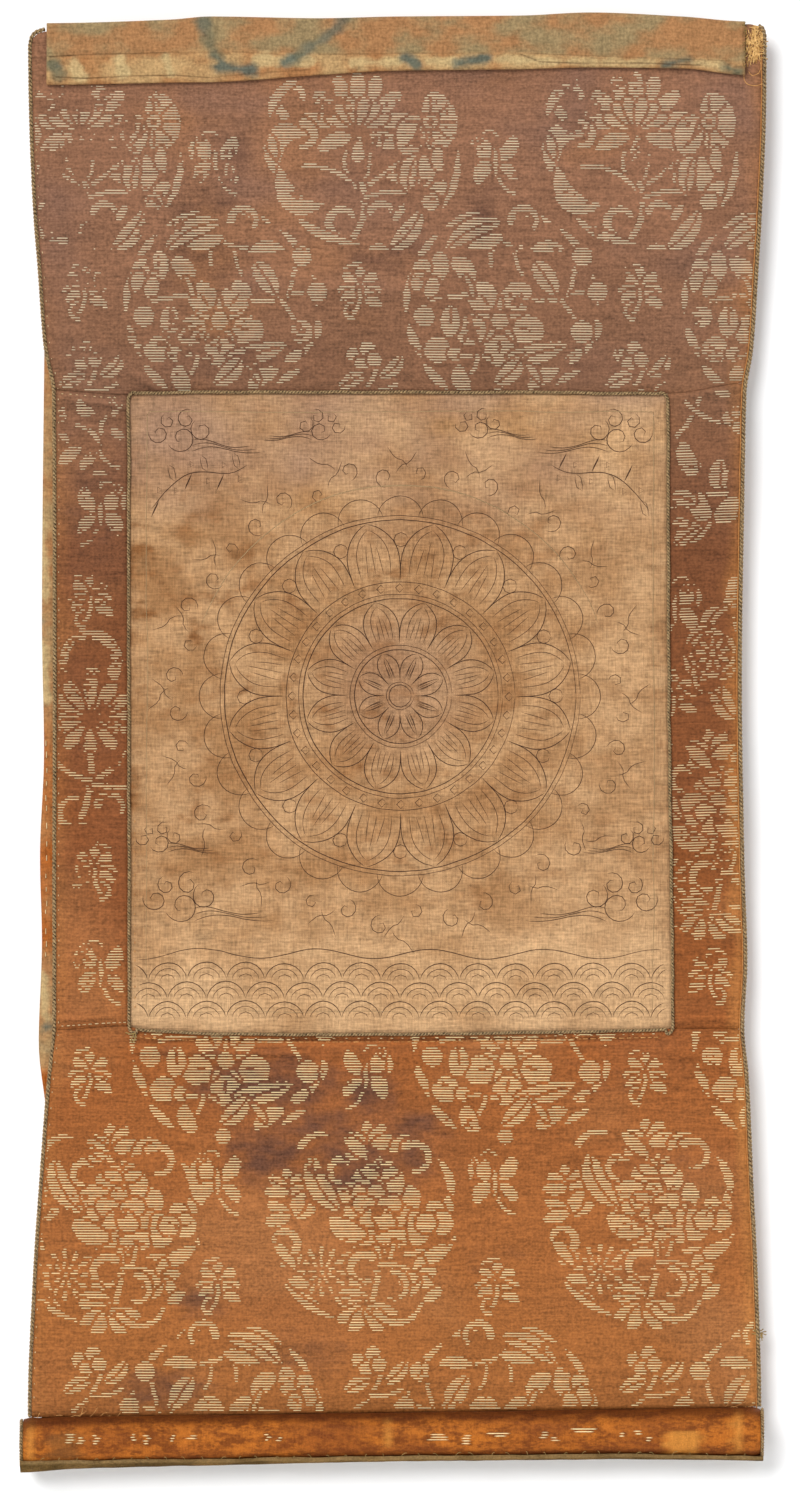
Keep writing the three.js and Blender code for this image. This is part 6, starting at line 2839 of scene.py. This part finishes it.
@dataclass
class Studio:
    """The camera, the pale wall and floor, and the soft light from the upper left."""

    lens_mm: float = 280.0
    sensor_mm: float = 36.0
    view_height: float = 671.85
    view_x: float = 1.35
    view_drop: float = 328.7
    wall_depth: float = 14.0
    wall_half_width: float = 900.0
    wall_top: float = 620.0
    floor_drop: float = 950.0
    floor_reach: float = 2600.0
    wall_grey: float = 0.95
    floor_tone: tuple[float, float, float] = (0.86, 0.85, 0.83)
    suns: tuple[tuple[str, tuple[float, float, float], float, float], ...] = (
        ("upper left light", (4.4, 10, -4.8), 2.35, 30),
        ("light from behind", (-6, -9, -7), 1.7, 20),
    )
    sky_strength: float = 0.62
    sky_tone: tuple[float, float, float] = (0.935, 0.965, 1)

    def camera(self) -> None:
        """Sets the camera square to the front, as the photograph was taken."""
        data = bpy.data.cameras.new("scroll camera")
        data.lens = self.lens_mm
        data.sensor_width = self.sensor_mm
        data.clip_end = 50
        camera = bpy.data.objects.new("scroll camera", data)
        away = self.lens_mm / self.sensor_mm * self.view_height
        camera.location = (self.view_x * MM, -away * MM, -self.view_drop * MM)
        camera.rotation_euler = (math.pi / 2, 0, 0)
        bpy.context.scene.collection.objects.link(camera)
        bpy.context.scene.camera = camera
        bpy.context.scene.view_settings.view_transform = "Standard"

    def slab(self, name: str, corners: Sequence[tuple[float, float, float]]) -> bpy.types.Object:
        """A flat face with its corners in order.

        Args:
            name: The piece's name.
            corners: Its corners, turning left as seen from its front.

        Returns:
            The face.
        """
        piece = put_in_scene(name, np.array(corners), [[0, 1, 2, 3]])
        return piece

    def stage(self) -> None:
        """Makes the wall, which can't be seen from behind, and the floor."""
        half, top, low, deep = self.wall_half_width, self.wall_top, -self.floor_drop, self.wall_depth
        corners = ((-half, deep, low), (half, deep, low), (half, deep, top), (-half, deep, top))
        wall = self.slab("studio_wall", corners)
        paint = bpy.data.materials.new("wall seen from the front")
        paint.use_nodes = True
        nodes, links = paint.node_tree.nodes, paint.node_tree.links
        nodes.clear()
        diffuse = nodes.new("ShaderNodeBsdfDiffuse")
        diffuse.inputs["Color"].default_value = (self.wall_grey, self.wall_grey, self.wall_grey, 1)
        clear = nodes.new("ShaderNodeBsdfTransparent")
        facing = nodes.new("ShaderNodeNewGeometry")
        ray = nodes.new("ShaderNodeLightPath")
        either = nodes.new("ShaderNodeMath")
        either.operation = "MAXIMUM"
        links.new(facing.outputs["Backfacing"], either.inputs[0])
        links.new(ray.outputs["Is Shadow Ray"], either.inputs[1])
        mix = nodes.new("ShaderNodeMixShader")
        links.new(either.outputs[0], mix.inputs[0])
        links.new(diffuse.outputs[0], mix.inputs[1])
        links.new(clear.outputs[0], mix.inputs[2])
        links.new(mix.outputs[0], nodes.new("ShaderNodeOutputMaterial").inputs[0])
        wall.data.materials.append(paint)
        reach = self.floor_reach
        corners = ((-reach, -reach, low), (reach, -reach, low), (reach, reach, low), (-reach, reach, low))
        floor = self.slab("studio_floor", corners)
        pale = bpy.data.materials.new("pale floor")
        pale.use_nodes = True
        shader = next(n for n in pale.node_tree.nodes if n.type == "BSDF_PRINCIPLED")
        shader.inputs["Base Color"].default_value = (*self.floor_tone, 1)
        shader.inputs["Roughness"].default_value = 0.8
        floor.data.materials.append(pale)

    def sun(self, name: str, way: tuple[float, float, float], strength: float, angle: float) -> None:
        """A soft distant light that shines along a direction.

        Args:
            name: The light's name.
            way: The direction in which it shines.
            strength: How strong it is.
            angle: How wide it looks from the scroll, in degrees.
        """
        data = bpy.data.lights.new(name, "SUN")
        data.energy = strength
        data.angle = math.radians(angle)
        light = bpy.data.objects.new(name, data)
        x, y, z = way
        level = math.hypot(x, y)
        light.rotation_euler = (math.atan2(level, -z), 0, math.atan2(-x, y))
        bpy.context.scene.collection.objects.link(light)

    def lights(self) -> None:
        """The main light, a weaker one from behind, and the white surroundings."""
        for name, way, strength, angle in self.suns:
            self.sun(name, way, strength, angle)
        world = bpy.data.worlds.new("white surroundings")
        bpy.context.scene.world = world
        world.use_nodes = True
        nodes, links = world.node_tree.nodes, world.node_tree.links
        nodes.clear()
        seen, lit = nodes.new("ShaderNodeBackground"), nodes.new("ShaderNodeBackground")
        seen.inputs["Strength"].default_value = 1.0
        seen.inputs["Color"].default_value = (1, 1, 1, 1)
        lit.inputs["Strength"].default_value = self.sky_strength
        lit.inputs["Color"].default_value = (*self.sky_tone, 1)
        ray, mix = nodes.new("ShaderNodeLightPath"), nodes.new("ShaderNodeMixShader")
        links.new(ray.outputs["Is Camera Ray"], mix.inputs[0])
        links.new(lit.outputs[0], mix.inputs[1])
        links.new(seen.outputs[0], mix.inputs[2])
        links.new(mix.outputs[0], nodes.new("ShaderNodeOutputWorld").inputs[0])


def main() -> None:
    """Builds the scroll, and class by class."""
    logging.basicConfig(level=logging.INFO, format="%(name)s: %(message)s")
    studio = Studio()
    studio.camera()
    TwistedCords().build()
    PrintedLining().build()
    BrocadeBorder().build()
    GoldWeft().build()
    PaintedPanel().build()
    Drawing().build()
    RodRoll().build()
    UnderStrip().build()
    Needlework().build()
    studio.stage()
    studio.lights()


if __name__ == "__main__":
    main()
